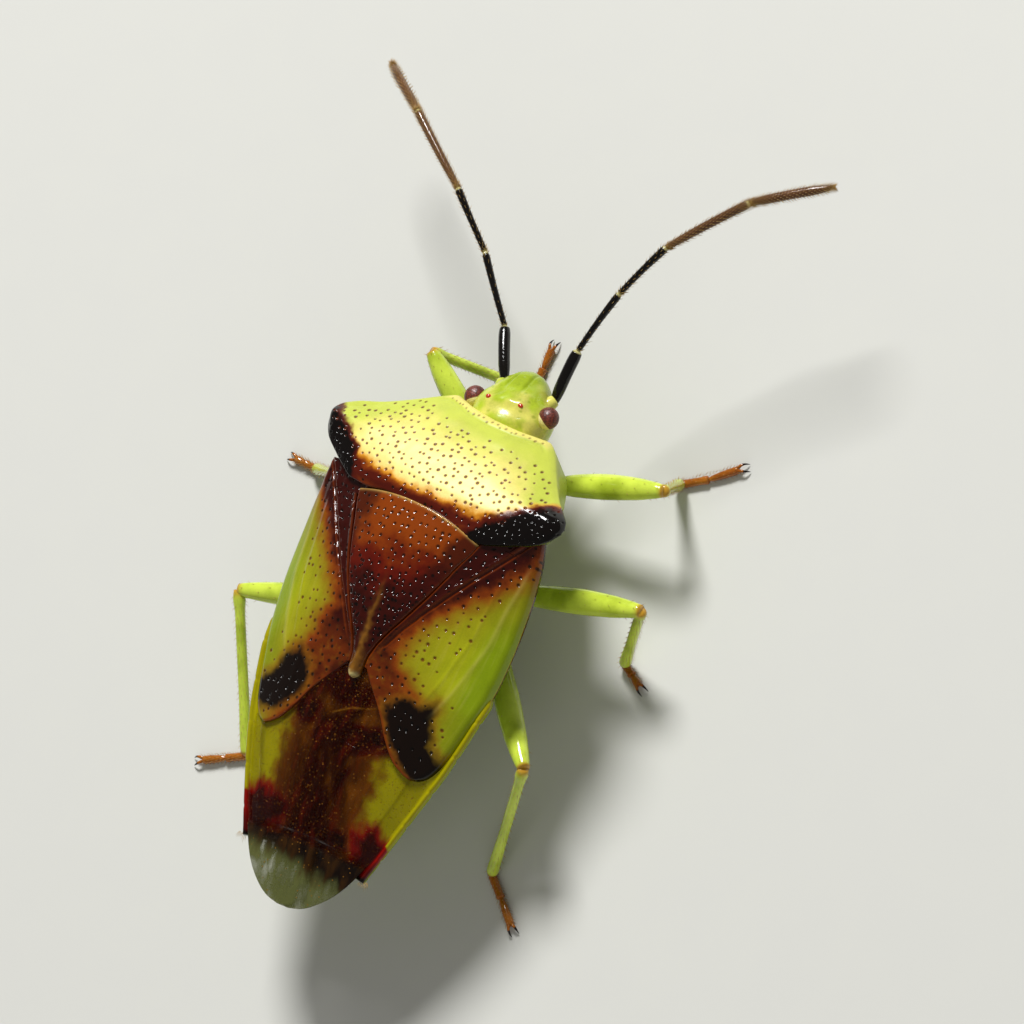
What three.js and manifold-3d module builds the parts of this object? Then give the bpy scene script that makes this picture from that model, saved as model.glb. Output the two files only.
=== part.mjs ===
// A life-size shield bug standing on six legs: body plates, folded wings, feelers and legs, in millimetres.
// +Z is up and the head faces -Y, so the insect's own right side is on -X.
// Shapes are worked out in the insect's own terms: side (its right is positive), ahead (0 at the
// shoulders, positive towards the head) and up (0 at the underside of the breast).
import * as THREE from "three";
import { mergeVertices } from "three/addons/utils/BufferGeometryUtils.js";
import Module from "manifold-3d";

const wasm = await Module();
wasm.setup();

// Driving dimensions
const STAND = 1.2; // clearance between the breast and the floor
const GAP = 0.1; // seam between neighbouring pieces
const SHOULDER = 2.76; // half width across the shoulder angles
const COLLAR = 0.95; // half width of the front of the pronotum
const PRONOTUM_FRONT = 1.5;
const PRONOTUM_REAR = -0.92;
const SCUTELLUM_BASE = -0.78;
const SCUTELLUM_TIP = -4.15;
const SCUTELLUM_HALF = 1.34;
const CORIUM_TIP = -5.45; // the leathery part of the wing ends here
const MEMBRANE_TIP = -8.45;
const ABDOMEN_FRONT = -2.75;
const ABDOMEN_REAR = -7.5;
const WING_THICK = 0.5;
const EYE = { side: 0.83, ahead: 1.86, up: 1.44, rx: 0.25, ry: 0.27, rz: 0.27 };
const OCELLUS = { side: 0.34, ahead: 1.87, up: 1.77, r: 0.08 };
const FEELER_R = 0.25; // radius of a feeler joint in the solid
const FEMUR_R = 0.29;
const TIBIA_R = 0.25;
const TARSUS_R = 0.25;

const COLOURS = {
  shell: [0xc9cf5a, 0.4],
  scutellum: [0x7a2c0c, 0.35],
  wing: [0xa8ae35, 0.4],
  membrane: [0x54401c, 0.25],
  abdomen: [0x93ac2a, 0.45],
  breast: [0xb3c552, 0.5],
  eye: [0x6b2f33, 0.3],
  feeler: [0x17110e, 0.4],
  leg: [0x8fbf1e, 0.4],
  foot: [0xb5651d, 0.45],
};

// Smooth steps through hand-picked stations [[at, value], ...], rising or falling in `at`.
function along(stations, at) {
  const s = stations[0][0] < stations.at(-1)[0] ? stations : [...stations].reverse();
  if (at <= s[0][0]) return s[0][1];
  if (at >= s.at(-1)[0]) return s.at(-1)[1];
  const i = s.findIndex((p) => p[0] > at) - 1;
  const slope = (a, b) => (b[1] - a[1]) / (b[0] - a[0]);
  const tangent = (k) => {
    if (k <= 0) return slope(s[0], s[1]);
    if (k >= s.length - 1) return slope(s.at(-2), s.at(-1));
    const before = slope(s[k - 1], s[k]);
    const after = slope(s[k], s[k + 1]);
    return before * after <= 0 ? 0 : (2 * before * after) / (before + after);
  };
  const h = s[i + 1][0] - s[i][0];
  const t = (at - s[i][0]) / h;
  const t2 = t * t;
  const t3 = t2 * t;
  return (
    (2 * t3 - 3 * t2 + 1) * s[i][1] +
    (t3 - 2 * t2 + t) * h * tangent(i) +
    (3 * t2 - 2 * t3) * s[i + 1][1] +
    (t3 - t2) * h * tangent(i + 1)
  );
}

// The form of the back, shared by every plate on it
const RIM_HEIGHT = [
  [0.1, 2.66], [-0.4, 2.5], [-1.2, 2.25], [-2.4, 2.05], [-4.2, 1.84], [-5.65, 1.68], [-7, 1.42],
  [-8.45, 1.12],
];
const CROWN_HEIGHT = [
  [0.3, 2.78], [-0.4, 2.93], [-1.2, 2.98], [-2.4, 2.88], [-4.1, 2.52], [-5.4, 2.26], [-7, 1.78],
  [-8.45, 1.25],
];
const RIM_HALF = [
  [-0.4, 2.5], [-1, 2.54], [-2.4, 2.57], [-3.6, 2.5], [-5, 2.23], [-5.6, 2.05], [-6.4, 1.77],
  [-7.05, 1.53], [-7.5, 1.36],
];
const BACK_HALF = [...RIM_HALF, [-8.45, 1.1]];
const backHeight = (side, ahead) => {
  const across = Math.min(1, Math.abs(side) / along(BACK_HALF, ahead));
  const rim = along(RIM_HEIGHT, ahead);
  return rim + (along(CROWN_HEIGHT, ahead) - rim) * (1 - across ** 2.2);
};

const place = (side, ahead, up) => new THREE.Vector3(-side, -ahead, up + STAND);
const range = (n) => Array.from({ length: n }, (_, i) => i);
const mix = (a, b, t) => a + (b - a) * t;

// A closed skin over rings of equal count; each end is closed by a fan on its ring's centre.
function loft(rings) {
  const n = rings[0].length;
  const points = rings.flat();
  const faces = [];
  for (let r = 0; r + 1 < rings.length; r++)
    for (let i = 0; i < n; i++) {
      const a = r * n + i;
      const b = r * n + ((i + 1) % n);
      faces.push(a, b, b + n, a, b + n, a + n);
    }
  const cap = (first, flip) => {
    const centre = range(n).reduce((sum, i) => sum.add(points[first + i]), new THREE.Vector3());
    points.push(centre.divideScalar(n));
    const c = points.length - 1;
    for (let i = 0; i < n; i++) {
      const a = first + i;
      const b = first + ((i + 1) % n);
      faces.push(...(flip ? [c, b, a] : [c, a, b]));
    }
  };
  cap(0, true);
  cap((rings.length - 1) * n, false);
  const geometry = new THREE.BufferGeometry().setFromPoints(points);
  geometry.setIndex(faces);
  return geometry;
}

// Between three.js geometry and a manifold-3d solid, turned right way out
function solid(geometry) {
  const bare = new THREE.BufferGeometry();
  bare.setAttribute("position", geometry.getAttribute("position"));
  bare.setIndex(geometry.getIndex());
  const merged = mergeVertices(bare, 1e-4);
  const vertProperties = new Float32Array(merged.attributes.position.array);
  const triVerts = new Uint32Array(merged.index.array);
  const build = () => new wasm.Manifold(new wasm.Mesh({ numProp: 3, vertProperties, triVerts }));
  const made = build();
  if (made.volume() > 0) return made;
  for (let i = 0; i < triVerts.length; i += 3)
    [triVerts[i + 1], triVerts[i + 2]] = [triVerts[i + 2], triVerts[i + 1]];
  return build();
}
const union = (pieces) => pieces.reduce((all, piece) => all.add(piece));
const largest = (made) => made.decompose().reduce((a, b) => (b.volume() > a.volume() ? b : a));
function geometryOf(made) {
  const mesh = made.getMesh();
  const geometry = new THREE.BufferGeometry();
  geometry.setAttribute("position", new THREE.BufferAttribute(new Float32Array(mesh.vertProperties), 3));
  geometry.setIndex(new THREE.BufferAttribute(new Uint32Array(mesh.triVerts), 1));
  return geometry;
}

// A round limb through points, with a radius at each point, stretched `grow` past its skin.
function limb(points, radii, { sides = 8, grow = 0, flat = 1 } = {}) {
  const last = points.length - 1;
  const way = (i) => points[Math.min(i + 1, last)].clone().sub(points[Math.max(i - 1, 0)]).normalize();
  const rings = points.map((p, i) => {
    const forward = way(i);
    const across = new THREE.Vector3(0, 0, 1).cross(forward).normalize();
    const over = forward.clone().cross(across);
    const centre = p.clone();
    if (i === 0) centre.addScaledVector(forward, -grow);
    if (i === last) centre.addScaledVector(forward, grow);
    return range(sides).map((k) => {
      const a = ((k + 0.5) * 2 * Math.PI) / sides;
      const r = radii[i] + grow;
      return centre
        .clone()
        .addScaledVector(across, Math.cos(a) * r)
        .addScaledVector(over, Math.sin(a) * r * flat);
    });
  });
  return solid(loft(rings));
}
function ball(centre, rx, ry, rz, width = 14, height = 10) {
  const sphere = new THREE.SphereGeometry(1, width, height);
  sphere.rotateX(Math.PI / 2);
  sphere.scale(rx, ry, rz);
  sphere.translate(centre.x, centre.y, centre.z);
  return solid(sphere);
}

// A body section: one ring per station, from the right edge over the top and back underneath
const section = (stations, ring) => solid(loft(stations.map(ring)));
const ACROSS = range(13).map((i) => 1 - i / 6); // 1 at the right edge, -1 at the left one

// Pronotum, with the rest of the front ring of the thorax under it
function pronotum() {
  const half = [
    [1.5, COLLAR], [1.3, 1.2], [1, 1.72], [0.6, 2.28], [0.3, 2.6], [0.05, SHOULDER], [-0.15, 2.73],
    [-0.35, 2.58], [-0.5, 2.4], [-0.65, 2.15], [-0.8, 1.86], [-0.92, 1.5],
  ];
  const crown = [[1.5, 1.9], [1, 2.3], [0.3, 2.76], [-0.35, 2.95], [-0.92, 2.92]];
  const rim = [[1.5, 1.6], [1, 1.95], [0.5, 2.35], [0.05, 2.64], [-0.35, 2.56], [-0.92, 2.5]];
  const stations = [
    1.5, 1.42, 1.3, 1.15, 0.95, 0.75, 0.5, 0.3, 0.12, 0, -0.12, -0.25, -0.38, -0.52, -0.68, -0.82,
    PRONOTUM_REAR,
  ];
  return section(stations, (ahead) => {
    const t = (PRONOTUM_FRONT - ahead) / (PRONOTUM_FRONT - PRONOTUM_REAR);
    const w = along(half, ahead);
    const bend = (u) => (1 - u * u) * (-0.14 * Math.max(0, 1 - 3 * t) + 0.22 * Math.max(0, 2.2 * t - 1.2));
    const top = ACROSS.map((u) => {
      const r = along(rim, ahead);
      const up = r + (along(crown, ahead) - r) * (1 - Math.abs(u) ** 2.3);
      return place(u * w, ahead + bend(u), up);
    });
    const bottom = ACROSS.slice(1, -1).map((u) => {
      const floor = mix(0.28, 0.5, t);
      const up = mix(floor, along(rim, ahead) - 0.42, Math.min(1, (Math.abs(u) * w) / 2.3) ** 1.7);
      return place(-u * w * 0.97, ahead + bend(u), up);
    });
    return [...top, ...bottom];
  });
}

// Scutellum: a triangle that narrows into a tongue
const SCUTELLUM_SIDE = [
  [SCUTELLUM_BASE, SCUTELLUM_HALF], [-1.5, 1.17], [-2.3, 0.84], [-3.1, 0.5], [-3.6, 0.28],
  [-3.95, 0.2], [SCUTELLUM_TIP, 0.07],
];
const scutellumHalf = (ahead) => along(SCUTELLUM_SIDE, ahead);
function scutellum() {
  const stations = [...range(13).map((i) => -0.98 - i * 0.24), -4.02, -4.1, SCUTELLUM_TIP];
  return section(stations, (ahead) => {
    const w = scutellumHalf(ahead);
    const back = (u) => (ahead > -1.3 ? (1 - u * u) * 0.2 * (1 - (-0.98 - ahead) / 0.32) : 0);
    const hump = 0.05 * Math.max(0, 1 - Math.abs(ahead + 1.9) / 1.4);
    const lift = (u) => (0.06 + hump) * (1 - u * u);
    const top = ACROSS.map((u) => place(u * w, ahead + back(u), backHeight(u * w, ahead) + lift(u)));
    const bottom = ACROSS.slice(1, -1).map((u) =>
      place(-u * w * 0.96, ahead + back(u), backHeight(u * w, ahead) - WING_THICK),
    );
    return [...top, ...bottom];
  });
}

// The folded wing: a leathery corium in front, with its clavus beside the scutellum, and a membrane behind
const COSTA = [
  [-0.62, 2.42], [-1, 2.5], [-2.4, 2.53], [-3.6, 2.4], [-4.6, 2.18], [-5.2, 1.98],
  [CORIUM_TIP, 1.86],
];
const CLAVAL_SUTURE = [[-0.8, 2.16], [-1.8, 1.6], [-2.65, 1.02], [-3.3, 0.66], [-3.6, 0.56]];
const RADIAL_VEIN = [[-0.8, 2.36], [-1.7, 2.3], [-2.6, 2.16], [-3.3, 1.98], [-4.2, 1.6]];
const MEMBRANE_SUTURE = [
  [-3.6, 0.3], [-4.1, 0.6], [-4.6, 0.88], [-5.1, 1.22], [-5.3, 1.42], [CORIUM_TIP, 1.66],
];
const MEMBRANE_EDGE = [
  [-5.35, 1.5], [-5.7, 1.72], [-6.4, 1.52], [-7.05, 1.3], [-7.5, 1.16], [-7.9, 0.92], [-8.2, 0.62],
  [-8.38, 0.36], [MEMBRANE_TIP, 0.16],
];
const MEMBRANE_FRONT = -4.27;
const LAP_LINE = 0.3; // the left membrane laps over the right one up to here
const VEIN_RISE = 0.07;
const SUTURE_DEPTH = 0.05;
const costa = (ahead) => along(COSTA, ahead);

// `sides(ahead)` runs from the outer edge of the plate to the inner one, `rise(i, ahead)` lifts a vein.
function wingPlate(hand, stations, sides, rise) {
  return section(stations, (ahead) => {
    const across = sides(ahead);
    const outer = across[0];
    const inner = across.at(-1);
    const inset = Math.min(0.05, (outer - inner) / 4);
    const top = across.map((s, i) => place(hand * s, ahead, backHeight(s, ahead) + rise(i, ahead)));
    const bottom = across.map((s, i) => {
      const tucked = mix(outer - inset, inner + inset, (outer - s) / (outer - inner));
      return place(hand * tucked, ahead, backHeight(s, ahead) - WING_THICK);
    });
    return [...top, ...bottom.reverse()];
  });
}
function corium(hand) {
  const stations = [-0.68, -0.9, ...range(15).map((i) => -1.1 - i * 0.28), -5.2, -5.35, CORIUM_TIP];
  const inner = (f) => {
    if (f > -1) return mix(2.2, 2.12, (-0.68 - f) / 0.22);
    return Math.max(scutellumHalf(f) + GAP, f < -3.6 ? along(MEMBRANE_SUTURE, f) + GAP / 2 : 0);
  };
  const sides = (f) => {
    const vein = along(RADIAL_VEIN, f);
    const suture = along(CLAVAL_SUTURE, f);
    const wanted = [
      costa(f), vein + 0.12, vein, vein - 0.12, (vein + suture) / 2, suture + 0.1, suture,
      suture - 0.1, inner(f),
    ];
    const room = (costa(f) - inner(f)) / 12;
    for (let i = 1; i < wanted.length - 1; i++) wanted[i] = Math.min(wanted[i], wanted[i - 1] - room);
    for (let i = wanted.length - 2; i > 0; i--) wanted[i] = Math.max(wanted[i], wanted[i + 1] + room);
    return wanted;
  };
  const rise = (i, f) => {
    if (i === 2) return f < -1 && f > -4.3 ? VEIN_RISE : 0;
    return i === 6 && f < -1 && f > -3.4 ? -SUTURE_DEPTH : 0;
  };
  return wingPlate(hand, stations, sides, rise);
}
function membrane(hand) {
  const stations = [
    MEMBRANE_FRONT, -4.6, -4.9, -5.2, -5.35, -5.52, -5.7, -6, -6.35, -6.7, -7.05, -7.4, -7.7,
    -7.95, -8.15, -8.3, -8.4,
  ];
  const outer = (f) => (f > -5.5 ? along(MEMBRANE_SUTURE, f) - GAP : along(MEMBRANE_EDGE, f));
  const sides = (f) => {
    const lap = Math.min(LAP_LINE, outer(f) * 0.45);
    return range(11).map((i) => mix(outer(f), GAP / 2 + hand * lap, i / 10));
  };
  const rise = (i, f) => (i % 2 === 1 && i < 10 && f < -4.7 && f > -8 ? VEIN_RISE * 0.7 : 0);
  return wingPlate(hand, stations, sides, rise);
}

// Hind two rings of the thorax, under the wings, with the keel of the breast
function thorax() {
  const half = [[-0.95, 2.0], [-1.6, 2.2], [-2.65, 2.3]];
  const body = section([-1.02, -1.3, -1.7, -2.1, -2.45, -2.65], (ahead) => {
    const w = along(half, ahead);
    const top = ACROSS.map((u) => place(u * w, ahead, backHeight(u * w, ahead) - WING_THICK - GAP - 0.04));
    const bottom = ACROSS.slice(1, -1).map((u) => {
      const up = mix(0, backHeight(w, ahead) - WING_THICK - 0.55, Math.abs(u) ** 2);
      return place(-u * w * 0.97, ahead, up);
    });
    return [...top, ...bottom];
  });
  const keel = section([0.5, 0.3, -0.2, -0.8, -1.6, -2.2], (ahead) => {
    const deep = along([[0.5, -0.02], [0.2, -0.28], [-0.8, -0.25], [-2.2, 0.0]], ahead);
    const roof = ahead > -0.9 ? 0.16 : 0.4;
    return [
      place(0.26, ahead, roof), place(-0.26, ahead, roof), place(-0.25, ahead, deep + 0.12),
      place(0, ahead, deep), place(0.25, ahead, deep + 0.12),
    ];
  });
  return body.add(keel);
}

// Abdomen: the belly, and its flat rim that shows beside the wings
function abdomen() {
  const belly = [[-2.75, 0.12], [-3.6, -0.05], [-5, 0.02], [-6.4, 0.34], [ABDOMEN_REAR, 0.72]];
  const stations = [
    ABDOMEN_FRONT, -3.05, -3.35, -3.7, -4.1, -4.6, -5.1, -5.6, -6.1, -6.6, -7.05, -7.35,
    ABDOMEN_REAR,
  ];
  const covered = (f) => (f > CORIUM_TIP ? costa(f) : along(MEMBRANE_EDGE, f)) + GAP;
  return section(stations, (ahead) => {
    const bare = ahead < -3.5;
    const w = bare ? along(RIM_HALF, ahead) + 0.03 : costa(ahead) - 0.12;
    const shelf = bare ? Math.min(covered(ahead), w - 0.04) : w - 0.05;
    const bed = (s) => backHeight(s, ahead) - WING_THICK - GAP;
    const rim = bare ? along(RIM_HEIGHT, ahead) : bed(w) - 0.05;
    const notch = (u) => (ahead < -7.4 ? 0.12 * (1 - u * u) : 0);
    const middle = [1, 0.75, 0.5, 0.25, 0, -0.25, -0.5, -0.75, -1];
    const top = middle.map((u) => place(u * (shelf - 0.03), ahead - notch(u), bed(u * shelf)));
    const right = [place(w, ahead, rim), place(shelf, ahead, rim + 0.03)];
    const left = [place(-shelf, ahead, rim + 0.03), place(-w, ahead, rim)];
    const under = ACROSS.slice(1, -1).map((u) => {
      const up = mix(along(belly, ahead), rim - 0.45, Math.abs(u) ** 2.4);
      return place(-u * w * 0.97, ahead - notch(u), Math.min(up, bed(0) - 0.35));
    });
    return [...right, ...top, ...left, ...under];
  });
}

// Head, set into the hollow front of the pronotum, with two ocelli on top
const collarBow = (side) => 0.14 * (1 - (side / COLLAR) ** 2);
function headBlock() {
  const half = [
    [1.6, 0.78], [1.86, 0.8], [2.1, 0.64], [2.3, 0.54], [2.5, 0.42], [2.66, 0.26], [2.74, 0.14],
  ];
  const crown = [[1.6, 1.8], [1.86, 1.78], [2.2, 1.62], [2.5, 1.38], [2.66, 1.18], [2.74, 1.08]];
  const chin = [[1.6, 0.62], [1.86, 0.56], [2.3, 0.6], [2.6, 0.72], [2.74, 0.86]];
  const stations = [PRONOTUM_FRONT + GAP, 1.72, 1.86, 2.02, 2.18, 2.34, 2.48, 2.6, 2.69, 2.74];
  return section(stations, (ahead) => {
    const w = along(half, ahead);
    const low = along(chin, ahead);
    const high = along(crown, ahead);
    const set = Math.max(0, 1 - (ahead - PRONOTUM_FRONT - GAP) / 0.4);
    const ring = (u, level, reach) => {
      const swell = 1 - Math.abs(u) ** 2.4;
      return place(u * w, ahead - set * collarBow(u * w), level + reach * swell);
    };
    const middle = (low + high) / 2;
    const lobe = (u) => (ahead > 2.3 && Math.abs(Math.abs(u) - 0.33) < 0.1 ? -0.04 : 0);
    const upper = ACROSS.map((u) => ring(u, middle + lobe(u), (high - low) / 2));
    const lower = ACROSS.slice(1, -1).map((u) => ring(-u * 0.97, middle, (low - high) / 2));
    return [...upper, ...lower];
  });
}
const eyeBall = (hand, grow = 0) =>
  ball(place(hand * EYE.side, EYE.ahead, EYE.up), EYE.rx + grow, EYE.ry + grow, EYE.rz + grow);
const ocellus = (hand) =>
  ball(place(hand * OCELLUS.side, OCELLUS.ahead, OCELLUS.up - 0.06), OCELLUS.r, OCELLUS.r, OCELLUS.r, 8, 6);

// Feelers: five joints each, from root to tip, as side, ahead and up of each joint's end
const FEELERS = {
  right: [
    [0.58, 2.24, 1.03], [0.76, 3.28, 1.37], [1.23, 4.52, 1.7], [1.84, 5.6, 1.93],
    [3.07, 6.93, 1.97], [4.44, 7.78, 1.8],
  ],
  left: [
    [-0.58, 2.24, 1.03], [-1.12, 3.29, 0.94], [-2.02, 4.45, 1.26], [-2.94, 5.35, 1.62],
    [-4.44, 6.48, 1.67], [-5.77, 7.28, 1.01],
  ],
};
const FEELER_SHAPE = [
  [0.24, 0.27, 0.25], [0.22, 0.24, 0.25], [0.22, 0.25, 0.25], [0.22, 0.26, 0.25],
  [0.22, 0.26, 0.14],
];
function feelerJoint(name, k, grow = 0) {
  const a = place(...FEELERS[name][k]);
  const b = place(...FEELERS[name][k + 1]);
  const way = b.clone().sub(a).normalize();
  const start = a.addScaledVector(way, GAP / 2);
  const end = b.addScaledVector(way, -GAP / 2);
  const points = [0, 0.12, 0.5, 0.88, 1].map((t) => start.clone().lerp(end, t));
  const [root, middle, tip] = FEELER_SHAPE[k];
  const radii = [root * 0.8, root, middle, mix(middle, tip, 0.7), tip * 0.75];
  return limb(points, radii, { grow });
}

// Beak, folded back between the front hips
function beak(grow = 0) {
  const points = [[0, 2.4, 0.55], [0, 2.1, 0.32], [0, 1.6, 0.08], [0, 1.1, -0.02], [0, 0.68, -0.04]];
  return limb(points.map((p) => place(...p)), [0.2, 0.25, 0.25, 0.24, 0.12], { grow });
}

// Legs: hip, knee, ankle and toe of each, as side, ahead and up
const FLOOR = -STAND;
const LEGS = {
  fore_right: {
    hip: [0.66, 0.95, 0.2], knee: [3.2, 1.51, 0.5], ankle: [2.59, 1.99, FLOOR + 0.3],
    toe: [3.5, 2.6, FLOOR],
  },
  fore_left: {
    hip: [-0.66, 0.95, 0.2], knee: [-2.4, 2.38, 0.8], ankle: [-1.12, 2.67, FLOOR + 0.3],
    toe: [-1.13, 3.4, FLOOR],
  },
  mid_right: {
    hip: [0.85, -1.2, 0.1], knee: [3.84, -0.75, 0.5], ankle: [3.15, -1.57, FLOOR + 0.3],
    toe: [3.46, -1.8, FLOOR],
  },
  mid_left: {
    hip: [-0.85, -1.2, 0.1], knee: [-3.4, -0.4, 0.35], ankle: [-4.67, -0.22, FLOOR + 0.3],
    toe: [-5.06, -0.19, FLOOR],
  },
  hind_right: {
    hip: [0.9, -2.2, 0.1], knee: [3.27, -4.36, 1.0], ankle: [2.48, -6.18, FLOOR + 0.3],
    toe: [3.22, -6.85, FLOOR],
  },
  hind_left: {
    hip: [-0.9, -2.2, 0.1], knee: [-4.28, -3.11, 0.3], ankle: [-3.38, -5.83, FLOOR + 0.3],
    toe: [-4.11, -6.17, FLOOR],
  },
};
const HIP_DROP = 0.22;
function hip(name, grow = 0) {
  const [side, ahead, up] = LEGS[name].hip;
  const knee = place(...LEGS[name].knee);
  const root = place(side, ahead, up + 0.2);
  const low = place(side * 1.06, ahead, up - HIP_DROP);
  const out = low.clone().lerp(knee, 0.13);
  return limb([root, low, out], [0.32, 0.33, 0.25], { sides: 9, grow });
}
function femurEnds(name) {
  const [side, ahead, up] = LEGS[name].hip;
  const low = place(side * 1.06, ahead, up - HIP_DROP);
  const knee = place(...LEGS[name].knee);
  const start = low.clone().lerp(knee, 0.13);
  const way = knee.clone().sub(start).normalize();
  return [start.addScaledVector(way, GAP), knee.addScaledVector(way, -0.06)];
}
function femur(name, grow = 0) {
  const [start, end] = femurEnds(name);
  const points = [0, 0.1, 0.35, 0.65, 0.9, 1].map((t) => start.clone().lerp(end, t));
  const radii = [0.2, 0.25, FEMUR_R, FEMUR_R + 0.01, FEMUR_R - 0.02, 0.24];
  return limb(points, radii, { sides: 9, grow });
}
function tibia(name, grow = 0) {
  const knee = place(...LEGS[name].knee);
  const ankle = place(...LEGS[name].ankle);
  const way = ankle.clone().sub(knee).normalize();
  const start = knee.clone().addScaledVector(way, 0.04);
  const end = ankle.addScaledVector(way, -GAP / 2);
  const points = [0, 0.08, 0.5, 0.9, 1].map((t) => start.clone().lerp(end, t));
  return limb(points, [0.2, TIBIA_R, TIBIA_R - 0.01, TIBIA_R + 0.02, 0.22], { sides: 8, grow });
}

// Foot: two joints and a pair of claws, cut flat where it meets the floor
const floorBlock = solid(new THREE.BoxGeometry(30, 30, 2).translate(0, 0, -1));
function foot(name) {
  const lift = TARSUS_R * 0.8;
  const ankle = place(...LEGS[name].ankle).setZ(lift);
  const toe = place(...LEGS[name].toe).setZ(lift);
  const way = toe.clone().sub(ankle).normalize();
  const across = new THREE.Vector3(0, 0, 1).cross(way);
  const at = (from, forward, hand, up) =>
    from.clone().addScaledVector(way, forward).addScaledVector(across, hand).setZ(up);
  const middle = ankle.clone().lerp(toe, 0.5);
  const joint = (a, b, root, tip) =>
    limb([0, 0.15, 0.8, 1].map((t) => a.clone().lerp(b, t)), [root * 0.7, root, tip, tip * 0.8]);
  const pieces = [
    joint(ankle, at(middle, 0.06, 0, lift), TARSUS_R * 0.9, TARSUS_R),
    joint(at(middle, -0.04, 0, lift), toe, TARSUS_R * 0.85, TARSUS_R * 0.9),
  ];
  for (const hand of [1, -1]) {
    const hook = [
      at(toe, -0.1, hand * 0.06, lift), at(toe, 0.14, hand * 0.17, lift),
      at(toe, 0.28, hand * 0.2, 0.06),
    ];
    pieces.push(limb(hook, [0.11, 0.09, 0.03], { sides: 6 }));
  }
  return union(pieces).subtract(floorBlock);
}

// Assembly: each piece is cut clear of the ones it carries, and one plain shift centres the whole
const part = new THREE.Group();
function add(name, made, finish) {
  const [color, roughness] = COLOURS[finish];
  const material = new THREE.MeshStandardMaterial({ color, roughness, metalness: 0 });
  const mesh = new THREE.Mesh(geometryOf(largest(made)), material);
  mesh.name = name;
  part.add(mesh);
}
const HANDS = { right: 1, left: -1 };
const LEG_NAMES = Object.keys(LEGS);
const hips = (names) => names.map((name) => hip(name));

const eyesGrown = Object.values(HANDS).map((hand) => eyeBall(hand, GAP * 0.7));
const rootsGrown = Object.keys(FEELERS).map((name) => feelerJoint(name, 0, GAP));
const skull = union([headBlock(), ocellus(1), ocellus(-1)]);
add("head", skull.subtract(union([...eyesGrown, ...rootsGrown, beak(GAP)])), "shell");
add("rostrum", beak(), "breast");
const foreHips = hips(LEG_NAMES.filter((name) => name.startsWith("fore")));
add("pronotum", union([pronotum(), ...foreHips]).subtract(beak(GAP)), "shell");
add("scutellum", scutellum(), "scutellum");
const rearHips = hips(LEG_NAMES.filter((name) => !name.startsWith("fore")));
add("thorax", union([thorax(), ...rearHips]), "breast");
add("abdomen", abdomen(), "abdomen");
for (const [name, hand] of Object.entries(HANDS)) {
  add("eye_" + name, eyeBall(hand).subtract(rootsGrown[hand > 0 ? 0 : 1]), "eye");
  for (let k = 0; k < 5; k++) add(`antenna_${name}_${k + 1}`, feelerJoint(name, k), "feeler");
  add("corium_" + name, corium(hand), "wing");
  add("membrane_" + name, membrane(hand), "membrane");
}
for (const name of LEG_NAMES) {
  add("femur_" + name, femur(name), "leg");
  add("tibia_" + name, tibia(name).subtract(femur(name, GAP)), "leg");
  add("tarsus_" + name, foot(name).subtract(tibia(name, GAP)), "foot");
}

part.updateMatrixWorld(true);
const box = new THREE.Box3().setFromObject(part);
const centre = box.getCenter(new THREE.Vector3());
part.traverse((piece) => {
  if (piece.isMesh) piece.geometry.translate(-centre.x, -centre.y, 0);
});
part.updateMatrixWorld(true);
export default part;
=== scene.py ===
"""A life-size shield bug on its six legs, built around the solid model that is loaded as the frame.

Shapes are worked out in the insect's own terms, in millimetres: side (its right is positive), ahead
(0 at the shoulders, positive towards the head) and up (0 at the underside of the breast).
"""
import math

import bpy
import numpy as np
from mathutils import Matrix, Vector


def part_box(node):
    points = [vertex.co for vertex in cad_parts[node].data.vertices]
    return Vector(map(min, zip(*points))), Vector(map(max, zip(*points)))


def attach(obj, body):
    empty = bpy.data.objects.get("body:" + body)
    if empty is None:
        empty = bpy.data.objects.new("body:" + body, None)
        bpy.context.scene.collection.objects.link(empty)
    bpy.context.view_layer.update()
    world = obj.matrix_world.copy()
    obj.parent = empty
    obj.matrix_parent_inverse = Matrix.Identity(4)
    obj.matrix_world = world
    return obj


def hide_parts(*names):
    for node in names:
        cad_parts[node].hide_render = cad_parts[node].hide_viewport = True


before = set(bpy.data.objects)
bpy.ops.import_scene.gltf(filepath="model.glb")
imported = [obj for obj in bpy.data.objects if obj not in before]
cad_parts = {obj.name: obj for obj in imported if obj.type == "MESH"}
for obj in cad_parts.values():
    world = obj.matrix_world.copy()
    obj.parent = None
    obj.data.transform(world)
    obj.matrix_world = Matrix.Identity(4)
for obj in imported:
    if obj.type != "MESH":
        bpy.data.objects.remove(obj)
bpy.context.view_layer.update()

bl_info = {
    "name": "Shield bug",
    "version": (1, 0, 0),
    "blender": (4, 5, 0),
    "location": "View3D > Sidebar > Shield bug",
    "description": "Builds a life-size shield bug, piece by piece, on its solid model",
    "category": "Add Mesh",
}

MM = 0.001
STAND = 1.2  # height of the breast above the floor
SCUTELLUM_TIP = -4.15
PRONOTUM_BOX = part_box("pronotum")
CENTRE = ((PRONOTUM_BOX[0].x + PRONOTUM_BOX[1].x) / 2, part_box("scutellum")[1].y + SCUTELLUM_TIP * MM)
HANDS = {"right": 1, "left": -1}


def paint(code):
    """A colour as red, green and blue in linear light, from its usual six-figure screen code."""
    screen = np.array([int(code[i : i + 2], 16) for i in (0, 2, 4)]) / 255
    return tuple(np.where(screen < 0.04045, screen / 12.92, ((screen + 0.055) / 1.055) ** 2.4))


def colour(name, code, description):
    return bpy.props.FloatVectorProperty(
        name=name, description=description, default=paint(code), min=0, max=1, size=3, subtype="COLOR"
    )


def length(name, millimetres, description):
    return bpy.props.FloatProperty(
        name=name, description=description, default=millimetres * MM, min=0, unit="LENGTH", precision=5
    )


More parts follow.
